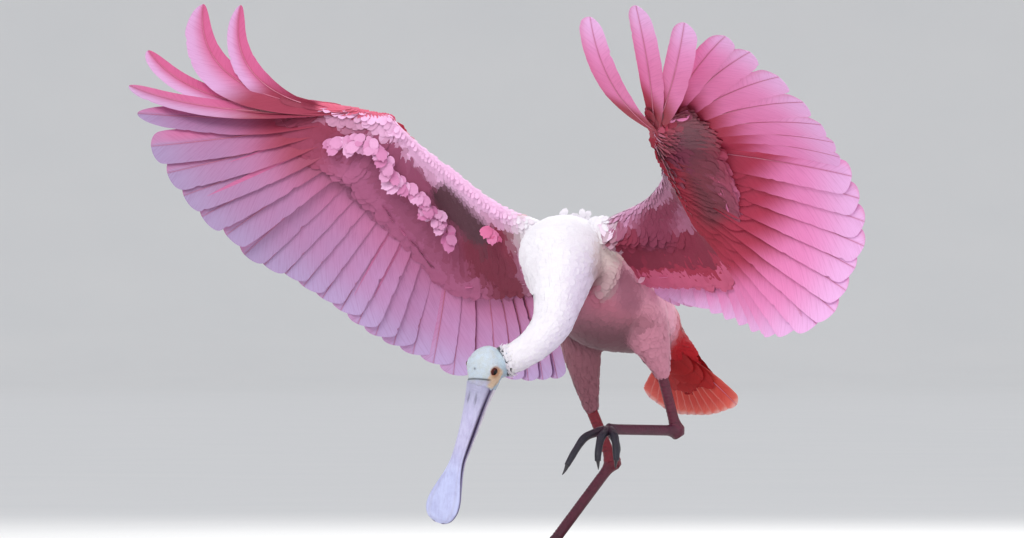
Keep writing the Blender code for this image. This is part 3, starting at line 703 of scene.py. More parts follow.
# %% [markdown]
# A wing is flat, so its place is told by two shares: along the wing from shoulder to fingertip, and across
# it from the leading edge to the rear. The side that faces out of the skin tells back from belly side.

# %% Places on the wings
CHORD_SHARES = np.array([0.0, 0.08, 0.2, 0.32, 0.45, 0.6, 0.75, 0.88, 1.0])
BONE_SHARE = 0.45


def wing_field(wing):
    """Samples of a wing's middle sheet: place, half thickness, shares along and across, way and normal."""
    arm, hand = wing["stations"]
    fine = smooth([np.hstack(row) for row in arm + hand[1:]], 6)
    rows = []
    for i, row in enumerate(fine):
        lead, bone, rear, normal = row[0:3], row[3:6], row[6:9], unit(row[9:12])
        for share in CHORD_SHARES:
            behind = share - BONE_SHARE
            if behind < 0:
                middle = lead + (bone - lead) * (share / BONE_SHARE)
            else:
                middle = bone + (rear - bone) * (behind / (1 - BONE_SHARE))
            thick = row[12] * (1 - 1.1 * max(behind, 0)) * (0.5 + min(share, 0.4))
            span = i / (len(fine) - 1)
            rows.append((middle, max(thick, 0.004) / 2, span, share, unit(rear - lead), normal))
    return [np.array(values) for values in zip(*rows)]


wing_facts = {}
for name, wing in WINGS.items():
    points, halves, spans, chords, ways, normals = wing_field(wing)
    best, off = nearest(corners, points, halves)
    above = np.einsum("ij,ij->i", outs, normals[best]) > 0
    wing_facts[name] = {
        "off": off, "span": spans[best], "chord": chords[best], "way": ways[best], "above": above,
    }
print("samples of a wing", len(points))

# %% [markdown]
# Each corner takes most from the limb whose surface it lies on, and a little from the others near a joint,
# so the lie of the feathers turns softly from torso to wing and from belly to thigh.

# %% Lie and length of the feathers
LIMB_BLEND = 0.0045


def closeness(off):
    """How strongly a limb counts for a corner this far off its surface."""
    return np.exp(-((off / LIMB_BLEND) ** 2))


pull = {"spine": closeness(spine_off) + 1e-9}
for name, (share, off, _) in thigh_facts.items():
    pull["thigh_" + name] = closeness(off) * step(share, 0.25, 0.5)
for name, facts in wing_facts.items():
    clear = step(facts["span"] + step(spine_off, 0.002, 0.012), 0.25, 0.6)
    pull["wing_" + name] = 1.5 * closeness(facts["off"]) * clear
total = sum(pull.values())
pull = {name: values / total for name, values in pull.items()}

lie = -spine_ways * pull["spine"][:, None]
reach = (0.0120 - 0.0055 * step(spine_share, 0.45, 0.92)) * pull["spine"]
lift = 0.065 * pull["spine"]
behind_bone = np.zeros(corner_count)
for name, (along_limb, _, ways) in thigh_facts.items():
    share = pull["thigh_" + name]
    lie += ways * share[:, None]
    reach += (0.0135 - 0.005 * along_limb) * share
    lift += 0.08 * share
for name, facts in wing_facts.items():
    share = pull["wing_" + name]
    lie += facts["way"] * share[:, None]
    rear = step(facts["chord"], 0.30, 0.55) * ~facts["above"]
    reach += (0.0062 + 0.0130 * rear + 0.0050 * step(facts["chord"], 0.0, 0.4)) * share
    lift += (0.04 - 0.025 * rear) * share
    behind_bone += rear * share
ends = np.empty(len(skin.data.edges) * 2, np.int32)
skin.data.edges.foreach_get("vertices", ends)
ends = np.concatenate([ends.reshape(-1, 2), ends.reshape(-1, 2)[:, ::-1]])
neighbours = np.bincount(ends[:, 0], minlength=corner_count)[:, None]


def softened(values, rounds):
    """Values at the skin's corners, each drawn towards the mean of its neighbours, a number of times."""
    for _ in range(rounds):
        sums = [np.bincount(ends[:, 0], column[ends[:, 1]], corner_count) for column in values.T]
        values = 0.5 * values + 0.5 * np.stack(sums, axis=1) / neighbours
    return values


soft_outs = unit(softened(outs, 12))
lie = softened(lie, 60)
calm = step(np.linalg.norm(lie, axis=1), 0.25, 0.75)
reach = softened(reach[:, None], 12)[:, 0] * (0.45 + 0.55 * calm)
lie = unit(lie - soft_outs * np.einsum("ij,ij->i", lie, soft_outs)[:, None])
print("feathers on the body", round(reach.min() * 1000, 1), "to", round(reach.max() * 1000, 1), "mm long")

# %% [markdown]
# The colours follow the bird in the photograph: a white neck and breast that ends in a clear border at
# the wing roots, a cream patch there, a dusky pink belly, pink thighs, deep red tail coverts, a red band on
# the back of each wing and pale pink along its underside. Painted shade darkens the lower neck's right side,
# the low breast and belly, the right thigh, the fold and the hollow behind the bone of the left wing, and the
# pocket at the right wing's root. Marks that were read off the photograph are bent lines in the picture's
# plane, and count at any depth.

# %% Colours of the plumage
WHITE = rgb(247, 245, 250)
NECK_SHADE = rgb(226, 216, 240)
CREAM = rgb(238, 222, 203)
BREAST_CREAM = rgb(230, 212, 208)
BREAST_SHADE = rgb(186, 160, 162)
BACK_PINK = rgb(236, 170, 190)
BELLY = rgb(176, 118, 134)
BELLY_SHADE = rgb(150, 92, 112)
LOW_BELLY_SHADE = rgb(118, 78, 88)
FLANK = rgb(190, 112, 132)
TAIL_RED = rgb(178, 22, 34)
THIGH_PINK = rgb(206, 138, 158)
RIGHT_THIGH_SHADE = rgb(152, 98, 110)
LEAD_PINK = rgb(250, 198, 236)
CARMINE = rgb(192, 26, 62)
SHADED = rgb(104, 60, 70)
MAUVE = rgb(204, 144, 180)
POCKET_SHADE = rgb(92, 54, 66)
ROSE = rgb(160, 84, 116)
DEEP_ROSE = rgb(140, 48, 72)
HOT_PINK = rgb(220, 98, 144)
PINK = rgb(232, 138, 188)
SALMON = rgb(230, 112, 140)

# across and up, in the picture's plane
SEEN = np.array([[math.sqrt(0.5), 0.0], [math.sqrt(0.5), 0.0], [0.0, 1.0]])
HOLLOW_LINE = ((0.1057, 0.5174), (0.1322, 0.4714), (0.1460, 0.4335), (0.1575, 0.4080))
WRIST_LINE = ((-0.2850, 0.5310), (-0.2184, 0.5231))
FOLD_SHADE_LINE = ((0.1115, 0.4794), (0.1069, 0.4335), (0.0885, 0.3967))
BELLY_LINE = ((0.052, 0.334), (0.058, 0.312))
BREAST_LINE = ((0.034, 0.374), (0.027, 0.326))
ROOT_LINE = ((-0.1115, 0.3703), (-0.0632, 0.3185))
POCKET_SHADE_LINE = ((-0.1530, 0.4300), (-0.1080, 0.3850))
TOWARDS_VIEWER = at(0, -1, 0)


def near_line(places, first, second):
    """How far points lie from a straight stretch between two places."""
    first, second = np.asarray(first, float), np.asarray(second, float)
    way = second - first
    share = np.clip(((places - first) @ way) / (way @ way), 0, 1)
    return np.linalg.norm(places - first - share[:, None] * way, axis=1)


def near_seen(places, line, far, close):
    """1 at points near a bent line as seen from the front, 0 far from it. Depth doesn't count."""
    flat = places @ SEEN
    gap = np.min([near_line(flat, first, second) for first, second in zip(line, line[1:])], axis=0)
    return step(-gap, -far, -close)


def hollow_shade(places):
    """The painted shade of the hollow under the left wing, as a layer of colour."""
    return SHADED, 0.8 * near_seen(places, HOLLOW_LINE, 0.026, 0.002)


x, y, z = corners.T
facing = outs @ TOWARDS_VIEWER > 0
white_border = y + 0.0186 - 0.45 * (z - 0.3415) - 0.4 * np.clip(z - 0.385, 0, 1)
to_right = (corners - spine_centres) @ at(1, 0, 0) / spine_sizes
neck_tone = blend(WHITE, (NECK_SHADE, 0.8 * step(to_right, 0.0, 0.9) * step(spine_share, 0.48, 0.64)))
breast_tone = blend(BREAST_SHADE, (BREAST_CREAM, step(z, 0.325, 0.360)))
torso_tone = blend(
    BELLY,
    # painted shade: the belly grows darker low down
    (LOW_BELLY_SHADE, step(-z, -0.315, -0.265)),
    (FLANK, step(np.abs(x), 0.020, 0.05) * step(z, 0.27, 0.32)),
    (BACK_PINK, step(z - 0.9 * (0.345 - y * 0.5), -0.01, 0.03)),
    (TAIL_RED, step(y, 0.112, 0.142)),
    (CREAM, hill(white_border - 0.003, 0.011) * step(z, 0.335, 0.36)),
    (BELLY_SHADE, 0.8 * facing * near_seen(corners, BELLY_LINE, 0.024, 0.006)),
)
torso_tone = blend(
    neck_tone,
    (torso_tone, step(white_border, -0.004, 0.005)),
    (breast_tone, 0.9 * facing * (spine_share < 0.75) * near_seen(corners, BREAST_LINE, 0.017, 0.005)),
)
tint = torso_tone * pull["spine"][:, None]
# the right thigh is painted darker than the left, as shade on the far thigh
for name, tone in (("left", THIGH_PINK), ("right", RIGHT_THIGH_SHADE)):
    share = thigh_facts[name][0]
    tint += blend(BELLY, (tone, step(share, 0.2, 0.5)), (tone * 0.92, share)) * pull["thigh_" + name][:, None]


def right_underside(chord, span):
    """Colours below the right wing, with the pale fold in front and painted shade in the pocket near its
    root.
    """
    rear = blend(
        DEEP_ROSE,
        (ROSE, step(span, 0.10, 0.45)),
        (rgb(184, 104, 144), 0.85 * step(chord, 0.62, 0.92)),
    )
    return blend(
        LEAD_PINK,
        (rear, step(chord + 0.26 * (1 - step(span, 0.45, 0.62)), 0.40, 0.56)),
        (rgb(126, 44, 66), near_seen(corners, ROOT_LINE, 0.028, 0.010)),
        # painted shade in the pocket between the fold and the arm
        (POCKET_SHADE, near_seen(corners, POCKET_SHADE_LINE, 0.019, 0.007)),
        (rgb(148, 54, 78), 0.8 * step(span, 0.66, 0.84) * step(chord, 0.3, 0.6)),
    )


def left_underside(chord, span):
    """Colours below the left wing, with crimson behind the bones and painted shade along the fold and in the
    hollow.
    """
    rear = blend(
        rgb(138, 46, 70),
        (rgb(196, 58, 88), np.maximum(step(span, 0.30, 0.6), step(chord, 0.65, 0.85))),
        (rgb(226, 132, 178), 0.75 * step(chord, 0.80, 0.96) * (1 - step(span, 0.5, 0.7))),
    )
    return blend(
        MAUVE,
        (rear, step(chord, 0.16, 0.45)),
        # painted shade along the fold in front of the hollow
        (rgb(132, 54, 80), near_seen(corners, FOLD_SHADE_LINE, 0.030, 0.010)),
        (LEAD_PINK, 0.6 * (1 - step(chord, 0.03, 0.12))),
        hollow_shade(corners),
    )


for name, underside, root_end in (("left", left_underside, 0.05), ("right", right_underside, 0.14)):
    facts = wing_facts[name]
    chord, span = facts["chord"], facts["span"]
    at_root = 1 - step(span, 0.0 if name == "left" else 0.02, root_end)
    under = blend(underside(chord, span), (blend(WHITE, (LEAD_PINK, step(chord, 0.3, 0.6))), at_root))
    over = blend(
        LEAD_PINK,
        (CARMINE, step(chord, 0.08, 0.2) * (1 - step(chord, 0.62, 0.8))),
        (PINK, step(chord, 0.62, 0.8)),
        (WHITE, 1 - step(span, 0.02, 0.14)),
    )
    tint += np.where(facts["above"][:, None], over, under) * pull["wing_" + name][:, None]
print("white corners", int((tint.min(axis=1) > 0.8).sum()), "of", corner_count)

# %% [markdown]
# The unwrap of the skin is its own shape laid flat: torso and neck as a strip round the spine, thighs
# and wing sides as strips beside it. Every small feather later gets a tiny patch at its root's place there,
# which lets the exported model keep the colour of each feather.

# %% Facts kept on the skin


def keep(mesh, name, values):
    """Stores a number, a vector or, for the tint, a colour for each corner of a mesh."""
    values = np.asarray(values, np.float32)
    kind, field = ("FLOAT", "value") if values.ndim == 1 else ("FLOAT_VECTOR", "vector")
    if name == "tint":
        kind, field = "FLOAT_COLOR", "color"
        values = np.hstack([values, np.ones((len(values), 1), np.float32)])
    layer = mesh.attributes.new(name, kind, "POINT")
    layer.data.foreach_set(field, np.ascontiguousarray(values).ravel())


def spread_out(values):
    """Values stretched to run from nought to one."""
    return (values - values.min()) / np.ptp(values)


def in_strip(start, width, across, length):
    """Places in an upright strip of the unwrap, from shares across and along it."""
    return np.stack([start + width * across, 0.01 + 0.98 * length], axis=1)


offset = corners - spine_centres
unwrap = in_strip(0.01, 0.44, np.arctan2(offset[:, 0], offset[:, 2]) / (2 * math.pi) + 0.5, spine_share)
strip = 0.47
for name, (share, _, _) in thigh_facts.items():
    chosen = pull["thigh_" + name] > 0.5
    centre = THIGHS[name][2]
    round_limb = np.arctan2(corners[:, 0] - centre[0], corners[:, 1] - centre[1]) / (2 * math.pi) + 0.5
    unwrap[chosen] = in_strip(strip, 0.10, round_limb, share)[chosen]
    strip += 0.12
for name, facts in wing_facts.items():
    spread = spread_out(np.einsum("ij,ij->i", corners, facts["way"]))
    length = spread_out(corners @ unit(WINGS[name]["hand"] - WINGS[name]["bones"][0]))
    for above in (True, False):
        chosen = (pull["wing_" + name] > 0.5) & (facts["above"] == above)
        unwrap[chosen] = in_strip(strip, 0.06, spread, length)[chosen]
        strip += 0.07
on_wing = pull["wing_left"] + pull["wing_right"] > 0.5
on_neck = step(spine_share, 0.55, 0.6) * pull["spine"] > 0.5
at_head = step(spine_share, 0.955, 0.975) * pull["spine"] >= 0.5
rears = [facts["chord"] * (pull["wing_" + name] > 0.5) for name, facts in wing_facts.items()]
at_rear = np.max(rears, axis=0) > 0.93
on_bones = on_wing & (behind_bone < 0.5) & ~at_rear
for name, values in (
    ("lie", lie),
    ("out", soft_outs),
    ("reach", reach),
    ("lift", lift),
    ("tint", tint),
    ("place", np.hstack([unwrap, np.zeros((corner_count, 1))])),
    ("neck_cover", on_neck & ~at_head),
    ("breast_cover", ~on_neck & ~on_wing & (y < 0.03)),
    ("belly_cover", ~on_neck & ~on_wing & (y >= 0.03)),
    ("left_cover", on_bones & (x > 0)),
    ("right_cover", on_bones & (x <= 0)),
    ("hollow_cover", on_wing & (behind_bone >= 0.5)),
):
    keep(skin.data, name, values)
print("strips of the unwrap end at", round(strip, 2))

# %% [markdown]
# The finish of feathers: the stored tint, broken up by a soft mottle and by fine streaks that run out from
# the shaft as barbs do. The streaks follow the feather's own map, in which one direction runs across the
# vane and the other along it. A little sheen stands for the fuzz that makes plumage look soft.

# %% Feather finish


def barb_places(tree, middle, sweep):
    """The vane's own map: off the shaft, and along it but slanted as barbs are."""
    vane = add(tree, "ShaderNodeUVMap", uv_map="vane").outputs[0]
    parts = add(tree, "ShaderNodeSeparateXYZ", {"Vector": vane})
    across = parts.outputs[0]
    if middle:
        across = math_node(tree, "SUBTRACT", across, middle)
    off_shaft = math_node(tree, "ABSOLUTE", across)
    slant = math_node(tree, "SUBTRACT", parts.outputs[1], math_node(tree, "MULTIPLY", off_shaft, sweep))
    return parts.outputs[0], off_shaft, slant


def barb_noise(tree, across, slant, coarse, fine, detail, roughness):
    """A noise drawn out along the barbs."""
    links = {0: math_node(tree, "MULTIPLY", across, coarse), 1: math_node(tree, "MULTIPLY", slant, fine)}
    return noise(tree, add(tree, "ShaderNodeCombineXYZ", links).outputs[0], 1.0, detail, roughness)


def plume_finish(name, barbs, mottle, sheen, strength):
    """A finish for small feathers that takes its colour from the stored tint."""
    fixed = {"Sheen_Weight": sheen, "Sheen_Roughness": 0.4, "Specular_IOR_Level": 0.25}
    material, tree, shader = start_material(name, 0.72, **fixed)
    tint_here = own_value(tree, "tint")
    _, off_shaft, slant = barb_places(tree, 0.5, 0.45)
    streaks = barb_noise(tree, off_shaft, slant, 3.0, barbs, 2.0, 0.6)
    clouds = noise(tree, own_place(tree), 70.0, 3.0, 0.6)
    darker = dimmed(tree, tint_here, (1 - mottle, 1 - 1.5 * mottle, 1 - 1.3 * mottle))
    tone = mixed(tree, mapped(tree, clouds, 0.35, 0.7), tint_here, darker)
    lines = dimmed(tree, tone, (0.95, 0.92, 0.94))
    painted(tree, shader, mixed(tree, mapped(tree, streaks, 0.40, 0.66), tone, lines))
    bumped(tree, shader, streaks, strength, 0.0006)
    return material


down_finish = plume_finish("down", 26.0, 0.03, 0.30, 0.12)
covert_finish = plume_finish("coverts", 34.0, 0.07, 0.25, 0.25)
skin_finish, tree, shader = start_material("feathered_skin", 0.85, Sheen_Weight=0.3)
skin_tint = own_value(tree, "tint")
fluff = noise(tree, own_place(tree), 260.0, 4.0, 0.65)
painted(tree, shader, mixed(tree, fluff, dimmed(tree, skin_tint, (0.78, 0.70, 0.74)), skin_tint))
bumped(tree, shader, fluff, 0.5, 0.001)
skin.data.materials.append(skin_finish)
print("plumage finishes", down_finish.name, covert_finish.name)

# %% [markdown]
# One small feather is a thin closed blade, one long, with its root at the origin. It is broad and round
# with a soft ragged end, bends down a little towards its tip and is hollow below. It has only a few dozen
# faces, because thousands of copies of it will be made.

# %% One small feather
RIM_ANGLE = math.radians(60)
FEATHER_ROWS = ((0.0, 0.35), (0.22, 0.80), (0.50, 1.0), (0.76, 0.92))
FEATHER_END = (0.86, 0.97, 1.0, 0.95, 0.88)


def closed_sheet(top, low):
    """Points and faces of a thin sheet from a grid of points above and the inner columns of one below."""
    count, across = top.shape[:2]
    grid = np.arange(count * across).reshape(count, across)
    inner = count * across + np.arange(count * (across - 2)).reshape(count, -1)
    under = np.hstack([grid[:, :1], inner, grid[:, -1:]])
    over_faces = np.stack([grid[:-1, :-1], grid[:-1, 1:], grid[1:, 1:], grid[1:, :-1]], axis=-1)
    under_faces = np.stack([under[1:, :-1], under[1:, 1:], under[:-1, 1:], under[:-1, :-1]], axis=-1)
    points = np.vstack([top.reshape(-1, 3), low.reshape(-1, 3)])
    return points, over_faces.reshape(-1, 4).tolist() + under_faces.reshape(-1, 4).tolist(), grid, under


def set_uv(mesh, name, places):
    """A map for a mesh from a place for each of its corners."""
    corner_of = np.empty(len(mesh.loops), np.int32)
    mesh.loops.foreach_get("vertex_index", corner_of)
    mesh.uv_layers.new(name=name).data.foreach_set("uv", places[corner_of].astype(np.float32).ravel())


def small_feather(name, half_width, rag, columns=3, thickness=0.006, curl=0.035):
    """A closed blade one long, along +Y, with a ragged tip, and its map across and along."""
    across = np.linspace(-1, 1, columns)
    rows = [[(half_width * w * u, t, 0.05 * half_width * (1 - u * u) - curl * t * t) for u in across]
            for t, w in FEATHER_ROWS]
    ends = np.array(FEATHER_END)[np.linspace(0, 4, columns).round().astype(int)]
    ends = ends + rag * np.where(np.arange(columns) % 2, -1.0, 0.6)
    rows.append([(half_width * 0.66 * u, t, 0.06 * half_width - curl * t * t) for u, t in zip(across, ends)])
    top = np.array(rows)
    low = top[:, 1:-1] - [0, 0, thickness]
    points, faces, grid, under = closed_sheet(top, low)
    faces.append([*under[0, 1:-1], *grid[0, ::-1]])
    faces.append([*grid[-1], *under[-1, 1:-1][::-1]])
    mesh = mesh_of(name, points, faces)
    mesh.set_sharp_from_angle(angle=RIM_ANGLE)
    set_uv(mesh, "vane", np.stack([points[:, 0] / (2 * half_width) + 0.5, points[:, 1]], axis=1))
    made = new_object(name, mesh)
    made.hide_render = True
    made.hide_viewport = True
    return made


body_feather = small_feather("pattern_body", 0.34, 0.03)
neck_feather = small_feather("pattern_neck", 0.30, 0.05)
wing_feather = small_feather("pattern_covert", 0.34, 0.02, thickness=0.010)
long_feather = small_feather("pattern_long", 0.30, 0.01, thickness=0.004, curl=0.02)
print("faces of one body feather", len(body_feather.data.polygons))

# %% [markdown]
# Geometry Nodes grow the coat. Points are scattered evenly over the skin, kept a set distance apart, and
# one feather is set on each: its flat side follows the skin's normal, its length the stored lie, its size
# the stored reach. Named inputs hold the sizes and a fixed seed, so every run gives the same coat.

# %% A tree that grows feathers
MOST_POINTS = 400000.0
BAKE_PATCH = 0.003


def new_tree(name, inputs):
    """A Geometry Nodes tree with named inputs. None makes a socket for an object."""
    tree = bpy.data.node_groups.new(name, "GeometryNodeTree")
    tree.interface.new_socket("Geometry", in_out="OUTPUT", socket_type="NodeSocketGeometry")
    tree.interface.new_socket("Geometry", in_out="INPUT", socket_type="NodeSocketGeometry")
    kinds = {int: "NodeSocketInt", float: "NodeSocketFloat", type(None): "NodeSocketObject"}
    for label, value in inputs.items():
        socket = tree.interface.new_socket(label, in_out="INPUT", socket_type=kinds[type(value)])
        if value is not None:
            socket.default_value = value
    return tree, tree.nodes.new("NodeGroupInput").outputs


def stored(tree, name, kind="FLOAT_VECTOR"):
    """Reads a stored attribute."""
    return add(tree, "GeometryNodeInputNamedAttribute", data_type=kind, Name=name).outputs["Attribute"]


def chance(tree, low, high, seed, shift):
    """A random number for each point, from a fixed seed."""
    node = add(tree, "FunctionNodeRandomValue", data_type="FLOAT")
    node.inputs[2].default_value = low
    node.inputs[3].default_value = high
    tree.links.new(math_node(tree, "ADD", seed, shift), node.inputs["Seed"])
    return node.outputs[1]


def end_tree(tree, geometry, material):
    """Gives the geometry its finish and ends the tree."""
    finish = add(tree, "GeometryNodeSetMaterial", {"Geometry": geometry}, Material=material)
    add(tree, "NodeGroupOutput", {0: finish.outputs[0]})


def turned_instances(tree, points, given, normal, way, scale, lift):
    """Sets a feather on each point, flat on the normal, along the way, lifted and turned a little."""
    seed = given["Seed"]
    twist = math_node(tree, "MULTIPLY", chance(tree, -1.0, 1.0, seed, 2), given["Twist"])
    axes = add(tree, "FunctionNodeAxesToRotation", {0: normal, 1: way}, primary_axis="Z", secondary_axis="Y")
    turn = add(tree, "ShaderNodeCombineXYZ", {0: lift, 1: chance(tree, -0.06, 0.06, seed, 1), 2: twist})
    euler = add(tree, "FunctionNodeEulerToRotation", {0: turn.outputs[0]})
    both = {0: axes.outputs[0], 1: euler.outputs[0]}
    rotation = add(tree, "FunctionNodeRotateRotation", both, rotation_space="LOCAL").outputs[0]
    feather = add(tree, "GeometryNodeObjectInfo", {"Object": given["Feather"]}).outputs["Geometry"]
    links = {"Points": points, "Instance": feather, "Rotation": rotation, "Scale": scale}
    return add(tree, "GeometryNodeInstanceOnPoints", links).outputs[0]


def coat_tree(name, cover, material):
    """A tree that grows small feathers on part of the skin and maps each at its root's place."""
    inputs = {"Spacing": 0.005, "Size": 1.0, "Variety": 0.17, "Lift": 1.0, "Twist": 0.16, "Seed": 1}
    tree, given = new_tree(name, {**inputs, "Feather": None})
    seed = given["Seed"]
    scatter = add(
        tree,
        "GeometryNodeDistributePointsOnFaces",
        {
            "Mesh": given["Geometry"],
            "Distance Min": given["Spacing"],
            "Density Factor": stored(tree, cover, "FLOAT"),
            "Seed": seed,
        },
        distribute_method="POISSON",
        Density_Max=MOST_POINTS,
    )
    size = math_node(tree, "MULTIPLY", stored(tree, "reach", "FLOAT"), given["Size"])
    change = math_node(tree, "MULTIPLY", chance(tree, -1.0, 1.0, seed, 3), given["Variety"])
    size = math_node(tree, "MULTIPLY", size, math_node(tree, "ADD", change, 1.0))
    lift = math_node(tree, "MULTIPLY", stored(tree, "lift", "FLOAT"), given["Lift"])
    lift = math_node(tree, "MULTIPLY", lift, chance(tree, 0.5, 1.6, seed, 4))
    ways = stored(tree, "out"), stored(tree, "lie")
    feathers = turned_instances(tree, scatter.outputs["Points"], given, *ways, size, lift)
    real = add(tree, "GeometryNodeRealizeInstances", {"Geometry": feathers})
    small = add(tree, "ShaderNodeVectorMath", {0: stored(tree, "vane")}, operation="SCALE", Scale=BAKE_PATCH)
    spot = add(tree, "ShaderNodeVectorMath", {0: stored(tree, "place"), 1: small.outputs[0]}, operation="ADD")
    links = {"Geometry": real.outputs[0], "Value": spot.outputs[0]}
    kind = {"data_type": "FLOAT2", "domain": "CORNER", "Name": "OFBake"}
    bake = add(tree, "GeometryNodeStoreNamedAttribute", links, **kind)
    end_tree(tree, bake.outputs[0], material)
    return tree


def grown(name, source, tree, values):
    """The plain mesh that a tree makes from a source object, as an object of its own."""
    modifier = source.modifiers.new(name, "NODES")
    modifier.node_group = tree
    for item in tree.interface.items_tree:
        if item.in_out == "INPUT" and item.name in values:
            modifier[item.identifier] = values[item.name]
    made = plain_copy(name, source)
    source.modifiers.remove(modifier)
    return made


coats = []
for name, cover, spacing, pattern, finish, size in (
    ("neck_coat", "neck_cover", 0.0019, neck_feather, down_finish, 1.25),
    ("breast_coat", "breast_cover", 0.0024, body_feather, down_finish, 1.0),
    ("belly_coat", "belly_cover", 0.0030, body_feather, down_finish, 1.0),
    ("left_wing_coat", "left_cover", 0.0040, wing_feather, covert_finish, 1.0),
    ("right_wing_coat", "right_cover", 0.0040, wing_feather, covert_finish, 1.0),
    ("hollow_coat", "hollow_cover", 0.0036, long_feather, covert_finish, 1.0),
):
    tree = coat_tree(name, cover, finish)
    coats.append(grown(name, skin, tree, {"Spacing": spacing, "Size": size, "Seed": 7, "Feather": pattern}))
    faces = sum(len(polygon.vertices) - 2 for polygon in coats[-1].data.polygons)
    print(name, faces, "triangles", [layer.name for layer in coats[-1].data.uv_layers])

# %% [markdown]
# A flight feather is a stiff blade with a narrow web in front of its shaft and a broad web behind it. Each
# is laid along a bent line from its root in the wing to its measured tip. The front edge rides higher
# than the rear edge, so the feathers overlap like roof tiles, and the webs sag a little away from the shaft.
# The blade is built in rows and columns here, because its edges need splits that no simple sweep gives.

# %% A flight feather
# pairs of a share of the feather's length and the tilt, or the width, that it has there
BLADE_TILTS = ((0.0, 0.20), (0.16, 0.15), (0.38, 0.10), (0.62, 0.08), (1.0, 0.07))
BROAD = ((0.0, 0.30), (0.16, 0.56), (0.38, 0.86), (0.58, 1.0), (0.80, 1.06), (0.92, 1.06), (1.0, 0.98))
FINGER = ((0.0, 0.32), (0.16, 0.66), (0.38, 1.0), (0.55, 1.04), (0.70, 0.92), (0.86, 0.76), (1.0, 0.60))
PADDLE = ((0.0, 0.32), (0.16, 0.62), (0.38, 0.94), (0.58, 1.02), (0.78, 1.02), (0.9, 0.94), (1.0, 0.84))
BLADE_COLUMNS = np.array([-1.0, -0.86, -0.6, -0.3, -0.06, 0.06, 0.3, 0.58, 0.82, 0.94, 1.0])
BLADE_THICKNESS = 0.00045
BARB_SWEEP = 0.35


def on_curve(table, shares):
    """Values read off a short table by straight lines."""
    return np.interp(shares, *zip(*table))


def bow(root, middle, tip, shares):
    """Points of a bent shaft."""
    t = np.asarray(shares)[:, None]
    return root * (1 - t) ** 2 + middle * (2 * t * (1 - t)) + tip * t**2


def ragged(rng, shares, amount, splits, deep):
    """How much of a web's width is there along the feather, with a soft ripple and a few short splits."""
    waves = sum(np.sin(shares * rng.uniform(20, 90) + rng.uniform(0, 6.28)) for _ in range(3)) / 3
    width = 1 + amount * waves
    for _ in range(splits):
        spot = rng.uniform(0.35, 0.95)
        width = width - deep * rng.uniform(0.4, 1.0) * hill(shares - spot, 0.010)
    return width


def blade(row, side, widths, shape, rng, rows=56, shift=0.0, start=0.0, end=1.0, round_from=0.87,
          columns=BLADE_COLUMNS, splits=2, tilt_scale=1.0):
    """A closed vane along part of a bent line, with the shares along and across of its corners."""
    line, trailing = row
    steps = 1 - (1 - np.linspace(0, 1, rows)) ** 1.6
    shares = start + (end - start) * steps
    shaft = bow(*line, shares)
    ways = ways_of(shaft)
    backs = unit(trailing - ways * (ways @ trailing)[:, None])
    normals = unit(np.cross(ways, backs)) * side
    tip = np.clip((steps - round_from) / (1 - round_from), 0, 1)
    full = on_curve(shape, steps) * np.sqrt(np.clip(1 - tip**2.2, 0.004, 1))
    tilt = on_curve(BLADE_TILTS, shares) * tilt_scale
    lead = widths[0] * full * ragged(rng, steps, 0.012, max(splits - 1, 0), 0.06)
    rear = widths[1] * full * ragged(rng, steps, 0.020, splits, 0.10)
    wide = np.where(columns[None] < 0, lead[:, None], rear[:, None]) * columns[None]
    sag = 0.06 * np.abs(wide) * np.abs(columns[None]) + 0.03 * wide * (columns[None] > 0) * columns[None]
    high = -wide * tilt[:, None] - sag + shift
    sheet = shaft[:, None] + backs[:, None] * wide[..., None] + normals[:, None] * high[..., None]
    # barbs sweep towards the tip, so the edge of a row lies a little further out than the shaft
    sheet = sheet + ways[:, None] * (BARB_SWEEP * np.abs(wide) * (1 - steps[:, None] ** 3))[..., None]
    top = sheet + normals[:, None] * BLADE_THICKNESS / 2
    top[:, [0, -1]] = sheet[:, [0, -1]]
    points, faces, grid, under = closed_sheet(top, (sheet - normals[:, None] * BLADE_THICKNESS / 2)[:, 1:-1])
    for last, turn in ((0, 1), (-1, -1)):
        for column in range(len(columns) - 1):
            ring = [*grid[last, column : column + 2], *under[last, column : column + 2][::-1]]
            faces.append(list(dict.fromkeys(ring))[::turn])
    if side < 0:
        faces = [face[::-1] for face in faces]

    def both_sides(values):
        """Values of the grid for the upper and then for the lower corners."""
        return np.concatenate([values.ravel(), values[:, 1:-1].ravel()])

    share = both_sides(np.repeat(shares[:, None], len(columns), axis=1))
    return {
        "points": points,
        "faces": faces,
        "share": share,
        "side": both_sides(np.tile(columns, (rows, 1))),
        "across": both_sides(wide),
        "long": share * lengths_of(shaft)[-1] / (end - start),
        "low": np.arange(len(points)) >= grid.size,
        "shaft": shaft + normals * (shift - BLADE_THICKNESS * 0.9),
    }


def fan(roots, tips, bends, side, bulge=0.10):
    """Bent lines and trailing directions of a row of feathers."""
    found = []
    last = len(roots) - 1
    for i, (root, tip) in enumerate(zip(roots, tips)):
        trailing = unit(tips[max(i - 1, 0)] - tips[min(i + 1, last)])
        normal = unit(np.cross(unit(tip - root), trailing)) * side
        middle = bends.get(i, (root + tip) / 2 + normal * (np.linalg.norm(tip - root) * bulge))
        found.append(((root, middle, tip), trailing))
    return found


